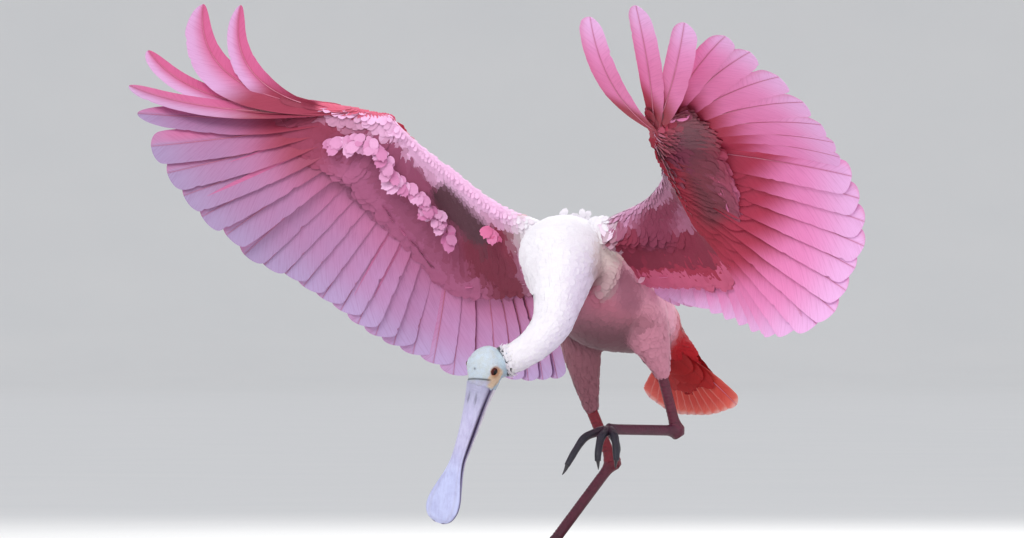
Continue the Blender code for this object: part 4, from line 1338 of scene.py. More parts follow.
def wing_rows(wing):
    """The bent lines of a wing's secondaries and primaries, each with its order from body to fingertip."""
    shoulder, elbow, wrist = wing["bones"]
    tips = along(wing["secondaries"], np.linspace(0, 1, SECONDARIES))
    root_line = [shoulder + (elbow - shoulder) * 0.45, elbow, wrist + (elbow - wrist) * 0.04]
    inner = fan(along(root_line, np.linspace(0, 1, SECONDARIES)), tips, {}, wing["side"])
    shares = 0.06 + 0.9 * np.arange(PRIMARIES) / (PRIMARIES - 1)
    outer = fan([wrist + (wing["hand"] - wrist) * share for share in shares], wing["primaries"], wing["bend"],
                wing["side"])
    return (
        (inner, 0.64 * np.arange(SECONDARIES) / (SECONDARIES - 1)),
        (outer, 0.66 + 0.34 * np.arange(PRIMARIES) / (PRIMARIES - 1)),
    )


for wing in WINGS.values():
    wing["rows"] = wing_rows(wing)
print("columns of a blade", len(BLADE_COLUMNS))

# %% [markdown]
# The colour of a flight feather changes from its root to its tip and from the body to the fingertips: deep
# rose or crimson where the coverts end, clear pink further out and pale lilac along the rim. The wing on
# the bird's left shows a wide crimson field with a clear outer limit, the other a softer rose.

# %% Colours of the flight feathers
LILAC = rgb(188, 138, 184)
PALE_LILAC = rgb(188, 162, 206)
CRIMSON = rgb(160, 40, 62)
# the order of a feather on the left wing, and how far out its crimson field ends
CRIMSON_LIMIT = ((0, 0.66), (0.12, 0.52), (0.35, 0.58), (0.6, 0.64), (0.68, 0.58), (0.8, 0.46), (1.0, 0.30))


def right_wing_tone(order, share, side):
    """Colour of a point on the bird's right wing."""
    outer = step(order, 0.35, 0.75)[..., None]
    edge = step(-side, -0.15, 0.50) * step(share, 0.1, 0.4) * (0.34 + 0.34 * step(order, 0.3, 0.7))
    web = blend(rgb(196, 116, 160), (rgb(188, 106, 150), step(order, 0.5, 0.8)))
    finger = blend(rgb(206, 88, 134), (rgb(218, 164, 210), step(side, -0.2, 0.8)))
    return blend(
        DEEP_ROSE,
        (ROSE, step(order, 0.0, 0.35)),
        (rgb(160, 56, 82), step(order, 0.66, 0.8)),
        (web, step(share - 0.14 * step(order, 0.55, 0.72), 0.20, 0.46)),
        # painted shade: the lilac is lighter on the inner feathers and darker out towards the fingertips
        (LILAC * (1.17 - 0.36 * outer), step(share, 0.42, 0.72) * (0.75 + 0.25 * side)),
        (PALE_LILAC * (1.13 - 0.38 * outer), step(share, 0.72, 1.0)),
        (finger, step(order, 0.84, 0.92) * step(share, 0.3, 0.5)),
        (rgb(212, 100, 150), edge * (1 - 0.4 * step(share, 0.85, 1))),
    )


def left_wing_tone(order, share, side):
    """Colour of a point on the bird's left wing."""
    past_limit = step(share - on_curve(CRIMSON_LIMIT, order) + 0.11 * side, -0.12, 0.10)
    return blend(
        CRIMSON,
        (rgb(182, 54, 84), step(share, 0.15, 0.5)),
        (blend(rgb(232, 126, 180), (rgb(240, 146, 202), step(share, 0.5, 0.8))), past_limit),
        (rgb(242, 186, 236), step(share, 0.70, 1.0)),
        (rgb(204, 78, 124), 0.40 * step(-side, 0.4, 1.0) * step(share, 0.3, 0.5)),
    )


print("rim colour", PALE_LILAC.round(2))

# %% [markdown]
# A wing's blades are joined to one mesh. Each keeps its own map across and along in metres, so the barbs of
# long and short feathers are equally fine, and a strip of its own in the map that the export bakes through.

# %% Joining blades


def joined_blades(name, blades, finish):
    """One mesh from many blades, with their colours, their own maps and their strips for the bake."""
    mesh = mesh_of(name, *joined([(made["points"], made["faces"]) for made in blades]))
    keep(mesh, "tint", np.vstack([made["tone"] for made in blades]))
    set_uv(mesh, "vane", np.vstack([np.stack([made["across"], made["long"]], axis=1) for made in blades]))
    width = 1 / len(blades)
    strips = []
    for order, made in enumerate(blades):
        across = 0.03 + 0.225 * (made["side"] + 1) + 0.5 * made["low"]
        strips.append(in_strip(order * width, width, across, made["share"]))
    set_uv(mesh, "OFBake", np.vstack(strips))
    mesh.set_sharp_from_angle(angle=RIM_ANGLE)
    mesh.materials.append(finish)
    print(name, len(blades), "blades,", len(mesh.polygons), "faces")
    return new_object(name, mesh)


def blade_finish(name, strength, line_tone):
    """A finish for large feathers, with barbs that run out from the shaft and a silky gloss."""
    fixed = {"Sheen_Weight": 0.2, "Sheen_Roughness": 0.35, "Specular_IOR_Level": 0.3}
    material, tree, shader = start_material(name, 0.55, **fixed)
    tint_here = own_value(tree, "tint")
    across, off_shaft, slant = barb_places(tree, 0.0, 1.1)
    locks = barb_noise(tree, across, slant, 60.0, 420.0, 2.0, 0.55)
    barbs = barb_noise(tree, across, slant, 90.0, 1500.0, 1.0, 0.5)
    lined = mapped(tree, locks, 0.44, 0.70, 0.0, 0.5)
    tone = mixed(tree, lined, tint_here, dimmed(tree, tint_here, line_tone))
    near_shaft = mapped(tree, off_shaft, 0.0, 0.0022, 0.45, 0.0)
    painted(tree, shader, mixed(tree, near_shaft, tone, dimmed(tree, tint_here, (0.66, 0.40, 0.50))))
    coarse, fine = math_node(tree, "MULTIPLY", locks, 0.7), math_node(tree, "MULTIPLY", barbs, 0.3)
    bumped(tree, shader, math_node(tree, "ADD", coarse, fine), strength, 0.0005)
    return material


flight_finish = blade_finish("flight_feathers", 0.35, (0.80, 0.66, 0.74))
print("flight finish made")

# %% [markdown]
# The primaries, on the hand, have long narrow ends that spread like fingers. The secondaries, on the forearm,
# are broad with rounded ends. Both are made in one loop for each wing, with small differences in length and
# splits, as real ones have.

# %% Flight feathers of both wings
PRIMARY_WIDTHS = (0.040, 0.041, 0.042, 0.042, 0.041, 0.039, 0.034, 0.032, 0.031, 0.028)
PRIMARY_FRONT = 0.42
PRIMARY_SHIFT = -0.0016
FIRST_FINGER = 5
SECONDARY_WIDTHS = (0.0170, 0.0225)
ROUND_END = 0.945
# seed, colours, outline of the finger feathers and where their ends begin to round off
FLIGHT = {
    "left": (11, left_wing_tone, PADDLE, 0.90),
    "right": (23, right_wing_tone, FINGER, 0.84),
}
shaft_lines = {}
vanes = []
for name, (seed, tone_of, finger_shape, finger_end) in FLIGHT.items():
    rng = np.random.default_rng(seed)
    wing = WINGS[name]
    (inner, inner_orders), (outer, outer_orders) = wing["rows"]
    blades = []
    for (line, trailing), order in zip(inner, inner_orders):
        line = (line[0], line[1], line[2] + (line[2] - line[0]) * rng.uniform(-0.012, 0.012))
        made = blade((line, trailing), wing["side"], SECONDARY_WIDTHS, BROAD, rng, round_from=ROUND_END)
        made["tone"] = tone_of(order, made["share"], made["side"])
        blades.append(made)
    for i, (row, order) in enumerate(zip(outer, outer_orders)):
        front, rear = wing["wider"].get(i, (0.0, 0.0))
        widths = (PRIMARY_WIDTHS[i] * PRIMARY_FRONT + front, PRIMARY_WIDTHS[i] * (1 - PRIMARY_FRONT) + rear)
        shape, round_from = (finger_shape, finger_end) if i >= FIRST_FINGER else (BROAD, ROUND_END)
        made = blade(row, wing["side"], widths, shape, rng, shift=PRIMARY_SHIFT, round_from=round_from)
        made["tone"] = tone_of(order, made["share"], made["side"])
        blades.append(made)
    shaft_lines[name] = [made["shaft"] for made in blades]
    vanes.append(joined_blades("vanes_" + name, blades, flight_finish))

# %% [markdown]
# Coverts are the rows of shorter feathers that close the gaps between the quills, above and below. The
# greater coverts follow the same bent lines as the flight feathers but end sooner, and two more rows
# lie over their roots. They use the same blade with fewer rows and columns.

# %% Coverts over and under the quills
COVERT_SHAPE = ((0.0, 0.62), (0.25, 0.95), (0.6, 1.0), (0.85, 0.95), (1.0, 0.8))
COVERT_BLADE = {
    "shape": COVERT_SHAPE,
    "rows": 14,
    "columns": np.array([-1.0, -0.55, 0.0, 0.55, 1.0]),
    "splits": 1,
    "tilt_scale": 0.6,
}
# start and end along the flight feather, lift off it, half width
COVERT_ROWS = ((0.10, 0.44, 0.0050, 0.0165), (0.02, 0.27, 0.0068, 0.0150), (-0.03, 0.15, 0.0085, 0.0135))
UNDER_LIFT = -0.7


def between(first, second, share):
    """A bent line between two neighbours."""
    line = tuple(a + (b - a) * share for a, b in zip(first[0], second[0]))
    return line, unit(first[1] * (1 - share) + second[1] * share)


def covert_blades(rows, orders, side, tone_of, rng, turn):
    """Rows of coverts on one side of a run of flight feathers, with their colours."""
    blades = []
    for level, (start, end, lift, half) in enumerate(COVERT_ROWS):
        parts = (0.0, 0.5) if level else (0.25,)
        for i, part in [(i, part) for i in range(len(rows) - 1) for part in parts]:
            finger = step(orders[i], 0.78, 0.92)
            on_hand = orders[i] > 0.65
            row = between(rows[i], rows[i + 1], part + rng.uniform(-0.06, 0.06))
            high = turn * lift * rng.uniform(0.85, 1.1) * (0.62 if on_hand else 0.8)
            wide = half * rng.uniform(0.9, 1.08) * (0.62 - 0.25 * finger if on_hand else 1.0)
            stop = end * rng.uniform(0.93, 1.05) * (1 - 0.5 * finger)
            made = blade(row, side, (wide, wide), rng=rng, start=start, end=stop, shift=high, round_from=0.62,
                         **COVERT_BLADE)
            made["own"] = (made["share"] - start) / (end - start)
            made["level"] = level
            made["tone"] = tone_of(orders[i], made)
            blades.append(made)
    return blades


def wrist_glow(places):
    """The salmon patch at the right wrist as a layer of colour."""
    return SALMON, near_seen(places, WRIST_LINE, 0.018, 0.007)


def left_under(order, made):
    """Colour of a covert below the left wing, with the painted shade of the hollow."""
    share = made["share"]
    return blend(left_wing_tone(order, share, np.zeros(len(share))), hollow_shade(made["points"]))


def right_under(order, made):
    """Colour of a covert below the right wing."""
    grey = step(made["share"], 0.20, 0.46) * (1 - 0.75 * step(order, 0.52, 0.68))
    return blend(
        DEEP_ROSE,
        (ROSE, step(order, 0.0, 0.35)),
        (rgb(150, 52, 78), step(order, 0.60, 0.75)),
        (rgb(176, 104, 146), 0.7 * grey),
        wrist_glow(made["points"]),
    )


def upper_side(order, made):
    """Colour of a covert on the back of either wing."""
    first_row = made["level"] == 0
    return blend(
        CARMINE,
        (rgb(226, 96, 136), step(made["own"] + 0.5 * first_row, 0.3, 1.0)),
        (rgb(236, 128, 150), 0.8 * step(order, 0.55, 0.7)),
        (PINK, 0.6 * first_row + 0.4 * step(order, 0.62, 0.75)),
        wrist_glow(made["points"]),
    )


for name, seed, underside in (("left", 31, left_under), ("right", 37, right_under)):
    rng = np.random.default_rng(seed)
    blades = []
    for rows, orders in WINGS[name]["rows"]:
        for turn, tone_of in ((1, upper_side), (UNDER_LIFT, underside)):
            blades += covert_blades(rows, orders, WINGS[name]["side"], tone_of, rng, turn)
    vanes.append(joined_blades("coverts_" + name, blades, flight_finish))

# %% [markdown]
# The shaft of a flight feather is a tapering rod that stands proud on the underside. A tree of Geometry
# Nodes sweeps a round profile along all the shafts of a wing at once: the profile's size follows the place
# along each line, thick at the quill and hair-thin at the tip.

# %% Shafts
SHAFT_RADIUS = 0.0008


def line_curves(name, lines):
    """A curve object with one open line for each row of points."""
    data = bpy.data.curves.new(name, "CURVE")
    data.dimensions = "3D"
    for points in lines:
        spline = data.splines.new("POLY")
        spline.points.add(len(points) - 1)
        rows = np.hstack([points, np.ones((len(points), 1))])
        spline.points.foreach_set("co", rows.astype(np.float32).ravel())
    return new_object(name, data)


def tapered_rods(name, lines, radius, end_size):
    """Tapering rods along lines, swept by a tree with named inputs."""
    tree, given = new_tree(name, {"Radius": radius, "Sides": 6, "End": end_size})
    part = add(tree, "GeometryNodeSplineParameter").outputs["Factor"]
    size = add(tree, "ShaderNodeMapRange", {"Value": part, "To Max": given["End"]}, To_Min=1.0)
    sizes = {"Resolution": given["Sides"], "Radius": given["Radius"]}
    profile = add(tree, "GeometryNodeCurvePrimitiveCircle", sizes)
    links = {"Curve": given["Geometry"], "Profile Curve": profile.outputs[0], "Scale": size.outputs[0]}
    sweep = add(tree, "GeometryNodeCurveToMesh", links, Fill_Caps=True)
    real = add(tree, "GeometryNodeRealizeInstances", {"Geometry": sweep.outputs[0]})
    end_tree(tree, real.outputs[0], shaft_finish)
    guide = line_curves("lines_of_" + name, lines)
    rods = grown(name, guide, tree, {"Radius": radius})
    bpy.data.objects.remove(guide)
    print(name, len(rods.data.polygons), "faces")
    return rods


shaft_finish = cloudy_finish("shafts", 0.4, 45.0, rgb(176, 62, 96), rgb(226, 150, 176))
shafts = [tapered_rods("shafts_" + name, lines, SHAFT_RADIUS, 0.22) for name, lines in shaft_lines.items()]

# %% [markdown]
# The tail is a short fan of twelve feathers, orange-red with pale rims, out of a cone of deep red coverts.
# It uses the same blades, and three rows of coverts lie over their roots, above and below.

# %% Tail
TAIL_TIPS = seen(
    (0.087, 0.186, 0.194), (0.112, 0.163, 0.177), (0.137, 0.137, 0.174), (0.163, 0.112, 0.176),
    (0.187, 0.088, 0.186),
)
TAIL_FEATHERS = 12
TAIL_WIDTHS = (0.0105, 0.0115)
TAIL_COVERTS = ((0.02, 0.58, 0.0035), (-0.12, 0.42, 0.0060), (-0.22, 0.26, 0.0085))
ORANGE_RED = rgb(214, 76, 68)
TAIL_RIM = rgb(244, 184, 176)
tail_finish = blade_finish("tail_feathers", 0.35, (0.86, 0.62, 0.55))
tips = along(TAIL_TIPS, np.linspace(0, 1, TAIL_FEATHERS))
roots = [np.array([-0.016 + 0.032 * i / (TAIL_FEATHERS - 1), 0.166, 0.240]) for i in range(TAIL_FEATHERS)]
rng = np.random.default_rng(5)
blades = []
tail_rows = fan(roots, tips, {}, 1, 0.04)
for row in tail_rows:
    made = blade(row, 1, TAIL_WIDTHS, BROAD, rng, rows=40, round_from=0.88)
    share = made["share"]
    rim = np.maximum(step(share, 0.90, 0.99), 0.35 * step(np.abs(made["side"]), 0.8, 1.0))
    made["tone"] = blend(
        rgb(190, 34, 40),
        (ORANGE_RED, step(share, 0.2, 0.6)),
        (rgb(232, 108, 96), step(share, 0.7, 0.93)),
        (TAIL_RIM, rim),
    )
    blades.append(made)
tail_lines = [made["shaft"] for made in blades]
for turn in (1, -1):
    for start, end, lift in TAIL_COVERTS:
        for first, second in zip(tail_rows, tail_rows[1:]):
            row = between(first, second, 0.5 + rng.uniform(-0.1, 0.1))
            stop = end * rng.uniform(0.85, 1.1)
            made = blade(row, 1, TAIL_WIDTHS[:1] * 2, rng=rng, start=start, end=stop, shift=turn * lift,
                         round_from=0.5, **COVERT_BLADE)
            own = (made["share"] - start) / (end - start)
            made["tone"] = blend(rgb(150, 14, 24), (rgb(180, 30, 32), own))
            blades.append(made)
tail = joined_blades("tail_vanes", blades, tail_finish)
tail_shafts = tapered_rods("tail_shafts", tail_lines, 0.0007, 0.3)

# %% [markdown]
# Where the fold of skin in front of the right wing ends, its last soft coverts stand out as a row of pale
# fluffy tufts. The same tree grows them, only from a narrow ribbon that is laid on the wing along the row
# and thrown away afterwards. Their pattern is broader and bends far over, and they stand well off the skin.
# Two smaller rows of the same kind sit near the elbow and above the shoulder.

# %% Tufts
# path, fall, ribbon width, spacing, length, and the two colours between which each tuft is drawn
TUFT_ROWS = {
    "wing_tufts": (
        seen(
            (-0.2780, 0.0900, 0.4890), (-0.2560, 0.0885, 0.4930), (-0.2356, 0.0850, 0.4898),
            (-0.2172, 0.0880, 0.4737), (-0.2092, 0.0960, 0.4530), (-0.1920, 0.1020, 0.4392),
            (-0.1747, 0.1080, 0.4231), (-0.1552, 0.1160, 0.3990), (-0.1379, 0.1220, 0.3760),
        ),
        at(-0.25, -0.45, -0.86), 0.012, 0.0036, 0.0120, LEAD_PINK, rgb(206, 116, 166),
    ),
    "elbow_tuft": (
        seen((-0.0990, 0.0740, 0.3910), (-0.0940, 0.0735, 0.3880), (-0.0890, 0.0740, 0.3860)),
        at(0.00, -0.40, -0.90), 0.006, 0.0013, 0.0110, HOT_PINK, rgb(236, 140, 186),
    ),
    "shoulder_tuft": (
        seen(
            (-0.0240, -0.0100, 0.3975), (-0.0120, -0.0120, 0.4000), (0.0040, -0.0120, 0.3990),
            (0.0120, -0.0100, 0.3975),
        ),
        at(0.35, -0.20, 0.80), 0.009, 0.0021, 0.0066, WHITE, WHITE,
    ),
}
TUFT_LIFT = 0.34


def ribbon(name, path, fall, width, reach, first, second):
    """A narrow strip along a path that carries the facts a coat reads."""
    count = 4 * len(path)
    line = along(path, np.linspace(0, 1, count))
    fall = unit(fall)
    faces = [(i, i + 1, count + i + 1, count + i) for i in range(count - 1)]
    mesh = mesh_of(name, np.vstack([line - fall * width / 2, line + fall * width / 2]), faces)
    viewer = at(0, -1, 0.25)
    drawn = np.random.default_rng(41).uniform(0.0, 1.0, 2 * count)
    spread = np.tile(np.linspace(0.02, 0.98, count), 2)
    ones = np.ones(2 * count)
    for label, values in (
        ("out", unit(viewer - fall * (viewer @ fall)) * ones[:, None]),
        ("lie", fall * ones[:, None]),
        ("reach", reach * ones),
        ("lift", TUFT_LIFT * ones),
        ("tint", blend(first, (second, drawn))),
        ("place", np.stack([np.repeat([0.991, 0.995], count), spread, 0 * spread], axis=1)),
        ("tuft_cover", ones),
    ):
        keep(mesh, label, values)
    return new_object(name, mesh)


tuft_feather = small_feather("pattern_tuft", 0.40, 0.05, columns=5, thickness=0.012, curl=0.50)
tufts = []
for name, (path, fall, width, spacing, reach, first, second) in TUFT_ROWS.items():
    strip = ribbon("ribbon_" + name, path, fall, width, reach, first, second)
    tree = coat_tree(name, "tuft_cover", down_finish)
    values = {"Spacing": spacing, "Variety": 0.50, "Twist": 0.9, "Seed": 3, "Feather": tuft_feather}
    tufts.append(grown(name, strip, tree, values))
    bpy.data.objects.remove(strip)
    print(name, len(tufts[-1].data.polygons), "faces")

# %% [markdown]
# The head is bare skin from the eye to the back of the skull, and gets its own finer skin. Skull and nape
# are closed forms on the solids' named places, melted together as the body was, but in squares of less than
# a millimetre. All places on it are told in the head's own directions: along the bill, left, and up.

# %% Head directions and skin
HEAD_MIDDLE = at(-0.1027, -0.107, 0.2302)
BILL_WAY = unit(at(-0.306, 0.0, -0.952))
CROWN_SIDE = at(-0.52, -0.84, 0.161)
HEAD_LEFT = unit(np.cross(CROWN_SIDE, BILL_WAY))
HEAD_UP = unit(np.cross(BILL_WAY, HEAD_LEFT))
HEAD_WAYS = np.stack([BILL_WAY, HEAD_LEFT, HEAD_UP])
EYE_RADIUS = 0.0053
EYE_PLACE = np.array([0.0012, 0.0160, 0.0075])
# distance along the bill's way, height, half width, half height
SKULL = (
    (-0.0250, -0.0020, 0.0050, 0.0050),
    (-0.0215, -0.0015, 0.0115, 0.0110),
    (-0.0150, -0.0005, 0.0175, 0.0165),
    (-0.0070, 0.0000, 0.0208, 0.0198),
    (0.0010, 0.0000, 0.0215, 0.0202),
    (0.0090, -0.0018, 0.0200, 0.0200),
    (0.0165, -0.0038, 0.0176, 0.0184),
    (0.0232, -0.0045, 0.0160, 0.0166),
)
# share of the way from the spine's end to the middle of the head, and half width
NAPE = ((0.0, 0.0178), (0.3, 0.0172), (0.65, 0.0168), (0.9, 0.0150))
HEAD_SQUARE = 0.00075
HEAD_SIDES = 56


def head_point(*place):
    """A point told in the head's own directions."""
    return HEAD_MIDDLE + np.array(place) @ HEAD_WAYS


skull = [
    oval(head_point(forward, 0, up), HEAD_LEFT, HEAD_UP, wide, high, HEAD_SIDES)
    for forward, up, wide, high in smooth(SKULL, 5)
]
last = np.array(SPINE[-1][:3])
way = unit(last - np.array(SPINE[-2][:3]))
nape = [(last - way * 0.016, 0.0170), (last - way * 0.006, 0.0176)]
nape += [(last + (HEAD_MIDDLE - last) * share, wide) for share, wide in NAPE]
nape_ways = square_to(way, np.array([1.0, 0, 0]))
nape = [oval(centre, *nape_ways, wide, wide, HEAD_SIDES) for centre, wide in nape]
head = melted("head_skin", [skin_over(skull), skin_over(nape)], HEAD_SQUARE, 10)
print("head corners", len(head.data.vertices))

# %% [markdown]
# Folds are heights along the skin's normal, each a soft bump or groove round a named place: a rim round each
# eye, a crease behind the bill, wrinkles on the throat and the ear's small hollow. Both sides of the head
# share one set of places, because the left of every place is taken without its sign.

# %% Folds of the head
corners = corner_values(head.data, "co")
normals = corner_values(head.data, "normal")
places = (corners - HEAD_MIDDLE) @ HEAD_WAYS.T
forward, left, up = places.T
mirrored = np.stack([forward, np.abs(left), up], axis=1)
eye_off = np.linalg.norm(mirrored - [0.0012, 0.0195, 0.0079], axis=1)
brow = near_line(mirrored, (-0.004, 0.0150, 0.0140), (0.009, 0.0135, 0.0128))
gape = near_line(mirrored, (0.0235, 0.0150, -0.0040), (0.0120, 0.0180, -0.0030))
ear = np.linalg.norm(mirrored - [-0.0125, 0.0165, -0.001], axis=1)
height = 0.0008 * hill(eye_off - 0.0063, 0.0014) - 0.0018 * hill(eye_off, 0.0038)
height -= 0.0005 * hill(eye_off - 0.0093, 0.0012)
height += 0.0007 * hill(brow, 0.0024)
height += 0.0005 * hill(gape - 0.0024, 0.0012) - 0.0010 * hill(gape, 0.0011)
for i, spot in enumerate((0.010, 0.0035, -0.003, -0.010)):
    fold = np.abs(forward - spot - 0.10 * (up + 0.015) * (i % 2 - 0.5)) + 0.5 * np.maximum(up + 0.006, 0)
    height -= 0.0005 * hill(fold, 0.0009)
height += 0.0005 * hill(ear - 0.0032, 0.0011) - 0.0007 * hill(ear, 0.0018)
height += 0.0006 * hill(forward - 0.0205, 0.0014) * step(up, -0.006, 0.004)
ripple = np.sin(forward * 2100 + 3 * np.sin(left * 500)) * np.sin(left * 1500 + up * 900)
height += 0.00010 * ripple * step(forward, -0.02, -0.005)
corners = corners + normals * height[:, None]
head.data.vertices.foreach_set("co", corners.ravel())
head.data.update()
print("head folds from", round(height.min() * 1000, 2), "to", round(height.max() * 1000, 2), "mm")

# %% [markdown]
# Colours are painted with the same places: pale blue-white skin, a tan patch under the eye and a dark line
# where the bill begins. The black streaks on the nape and behind the ear are bent lines seen from the
# front. They are given for the bird's left side, and its right side is mirrored onto them.

# %% Markings of the head
FACE_TAN = rgb(222, 192, 160)
FACE_ORANGE = rgb(176, 118, 78)
INK = rgb(38, 38, 48)
SLATE = rgb(92, 98, 108)
BILL_GREY = rgb(182, 180, 208)
BEHIND_EAR = ((-0.0705, 0.2480), (-0.0685, 0.2350), (-0.0690, 0.2200))
NAPE_STREAK = (
    (-0.0880, 0.2530), (-0.0834, 0.2473), (-0.0793, 0.2415), (-0.0757, 0.2385), (-0.0743, 0.2323),
    (-0.0759, 0.2220),
)
# one bent line each, and the distances where the streak ends and where it is full
STREAKS = (
    (NAPE_STREAK, 0.0034, 0.0014),
    (((-0.0793, 0.2415), (-0.0784, 0.2350)), 0.0022, 0.0008),
    (((-0.0816, 0.2174), (-0.0805, 0.2128), (-0.0850, 0.2060), (-0.0897, 0.2013)), 0.0020, 0.0006),
)
patch = np.linalg.norm((mirrored - [0.0085, 0.0180, 0.0025]) / [0.0135, 0.012, 0.0090], axis=1)
bill_start = forward - 0.0163 + 0.25 * left
speck = np.linalg.norm(places - [0.0050, -0.0008, 0.0194], axis=1)
on_left = corners - np.outer(np.minimum(left, 0) * 2, HEAD_LEFT)
left_normals = normals - np.outer(np.where(left < 0, 2, 0) * (normals @ HEAD_LEFT), HEAD_LEFT)
towards = step(left_normals @ TOWARDS_VIEWER, -0.1, 0.1)
down_line = -0.0275 + 0.0060 * step(-up, -0.005, 0.001) + 0.35 * np.maximum(-up, 0)
# painted shade in the gape's groove and in the ear's hollow
crease_shade = np.maximum(hill(gape, 0.0010), 0.6 * hill(ear, 0.0016))
paint = blend(
    rgb(170, 192, 210),
    (rgb(206, 220, 232), step(up, -0.004, 0.012)),
    (FACE_TAN, 0.90 * step(-patch, -1.12, -0.80)),
    (FACE_ORANGE, 0.80 * hill(eye_off - 0.0048, 0.0018)),
    (FACE_ORANGE, 0.30 * step(-patch, -0.8, -0.1) * step(-forward, -0.016, -0.006)),
    (INK, 0.90 * hill(bill_start, 0.0011) * step(up, 0.005, 0.009)),
    (BILL_GREY, 0.85 * step(bill_start, 0.0004, 0.0022) * step(up, 0.004, 0.008)),
    (SLATE, 0.95 * hill(speck, 0.0014)),
    (WHITE, 0.95 * step(down_line - forward, -0.001, 0.002)),
    (WHITE, 0.95 * towards * near_seen(on_left, BEHIND_EAR, 0.0062, 0.0045)),
    *((INK, 0.95 * towards * near_seen(on_left, *streak)) for streak in STREAKS),
    (SLATE, 0.7 * crease_shade),
)
keep(head.data, "tint", paint)
print("inked corners", int((paint.max(axis=1) < 0.1).sum()))

# %% [markdown]
# Bare skin is matt. Fine cells from a Voronoi pattern give its scurfy, crepe-like relief, and a slow noise
# breaks the pale colour into warmer clouds. The legs use the same finish with larger cells.

# %% Bare skin finish


def bare_finish(name, roughness, cell_scale, relief, warm, amount):
    """A finish for bare skin: the stored tint, clouds of a second colour, and fine cells."""
    material, tree, shader = start_material(name, roughness)
    tint_here = own_value(tree, "tint")
    place = own_place(tree)
    clouds = noise(tree, place, 160.0, 4.0, 0.6)
    cloudy = mapped(tree, clouds, 0.40, 0.68, 0.0, amount)
    tone = mixed(tree, cloudy, tint_here, dimmed(tree, tint_here, warm))
    kind = {"feature": "DISTANCE_TO_EDGE", "Scale": cell_scale}
    cells = add(tree, "ShaderNodeTexVoronoi", {"Vector": place}, **kind)
    edge = mapped(tree, cells.outputs["Distance"], 0.0, 0.12)
    painted(tree, shader, mixed(tree, edge, dimmed(tree, tone, (0.80, 0.78, 0.80)), tone))
    fine = math_node(tree, "ADD", edge, math_node(tree, "MULTIPLY", clouds, 0.8))
    bumped(tree, shader, fine, relief, 0.0004)
    return material


def bare_piece(name, form, finish, tint=None):
    """An object from points and faces, with its finish and one colour, or one for each corner."""
    mesh = mesh_of(name, *form)
    if tint is not None:
        keep(mesh, "tint", np.resize(tint, (len(mesh.vertices), 3)))
    outwards(mesh)
    mesh.materials.append(finish)
    print(name, len(mesh.polygons), "faces")
    return new_object(name, mesh)


head_finish = bare_finish("bare_head", 0.5, 900.0, 0.35, (0.92, 0.86, 0.74), 0.7)
leg_finish = bare_finish("leg_scales", 0.42, 620.0, 0.55, (0.62, 0.55, 0.66), 0.8)
head.data.materials.append(head_finish)

# %% [markdown]
# An eye is a ball with a red iris round a black pupil under a clear glossy surface. The iris, pupil and
# dark rim are rings about the axis it looks along, so the angle from that axis is stored on the ball and
# a colour ramp turns it into rings.

# %% Eyes
# pairs of a share of the half turn and the colour there
IRIS = (
    (0.0, (4, 3, 4)), (0.185, (6, 4, 5)), (0.200, (70, 16, 12)), (0.330, (92, 24, 18)), (0.370, (30, 10, 10)),
)
eye_finish, tree, shader = start_material(
    "eye", 0.14, Coat_Weight=0.25, Coat_Roughness=0.03, Specular_IOR_Level=0.2
)
ramp = add(tree, "ShaderNodeValToRGB", {"Fac": own_value(tree, "gaze", "Fac")})
for i, (spot, colour) in enumerate(IRIS):
    stop = ramp.color_ramp.elements[i] if i < 2 else ramp.color_ramp.elements.new(spot)
    stop.position = spot
    stop.color = (*rgb(*colour), 1)
rings_seen = ramp.outputs["Color"]
rays = noise(tree, own_place(tree), 1500.0, 2.0)
painted(tree, shader, mixed(tree, rays, rings_seen, dimmed(tree, rings_seen, (0.6, 0.5, 0.5))))

EYE_TILTS = np.concatenate([np.linspace(0.02, 0.6, 12), np.linspace(0.66, math.pi - 0.05, 22)])


def eyeball(name, centre, axis, across, over):
    """A ball that looks along an axis, a little raised over the iris."""
    rings = []
    for tilt in EYE_TILTS:
        size = EYE_RADIUS * (1 + 0.05 * hill(tilt, 0.42))
        wide = math.sin(tilt) * size
        rings.append(oval(centre + axis * (math.cos(tilt) * size), across, over, wide, wide, 40))
    eye = bare_piece("eyeball_" + name, skin_over(rings), eye_finish)
    gaze = unit(corner_values(eye.data, "co") - centre) @ axis
    keep(eye.data, "gaze", np.arccos(np.clip(gaze, -1, 1)) / math.pi)
    return eye


print("stops of the iris", len(IRIS), "rings of an eyeball", len(EYE_TILTS))

# %% [markdown]
# Lids are thick rims that lie on the ball and run back under the skin. An upper and a lower one meet in the
# corners of the eye, where they are thinnest. Each is a skin over rings of six points, every few degrees.

# %% Lids
LID_STEPS = 29
# angle past the opening, distance from the ball's centre in its radii, and what the lid's thickness adds
LID_SECTION = (
    (0.0, 1.02, 0.0), (0.02, 1.0, 0.13), (0.10, 1.0, 0.20), (0.26, 1.0, 0.19), (0.5, 1.06, 0), (0.5, 0.98, 0),
)
# name, side of the eye, and how far the lid reaches over the ball
LIDS = (("upper", 1, 0.20), ("lower", -1, 0.16))


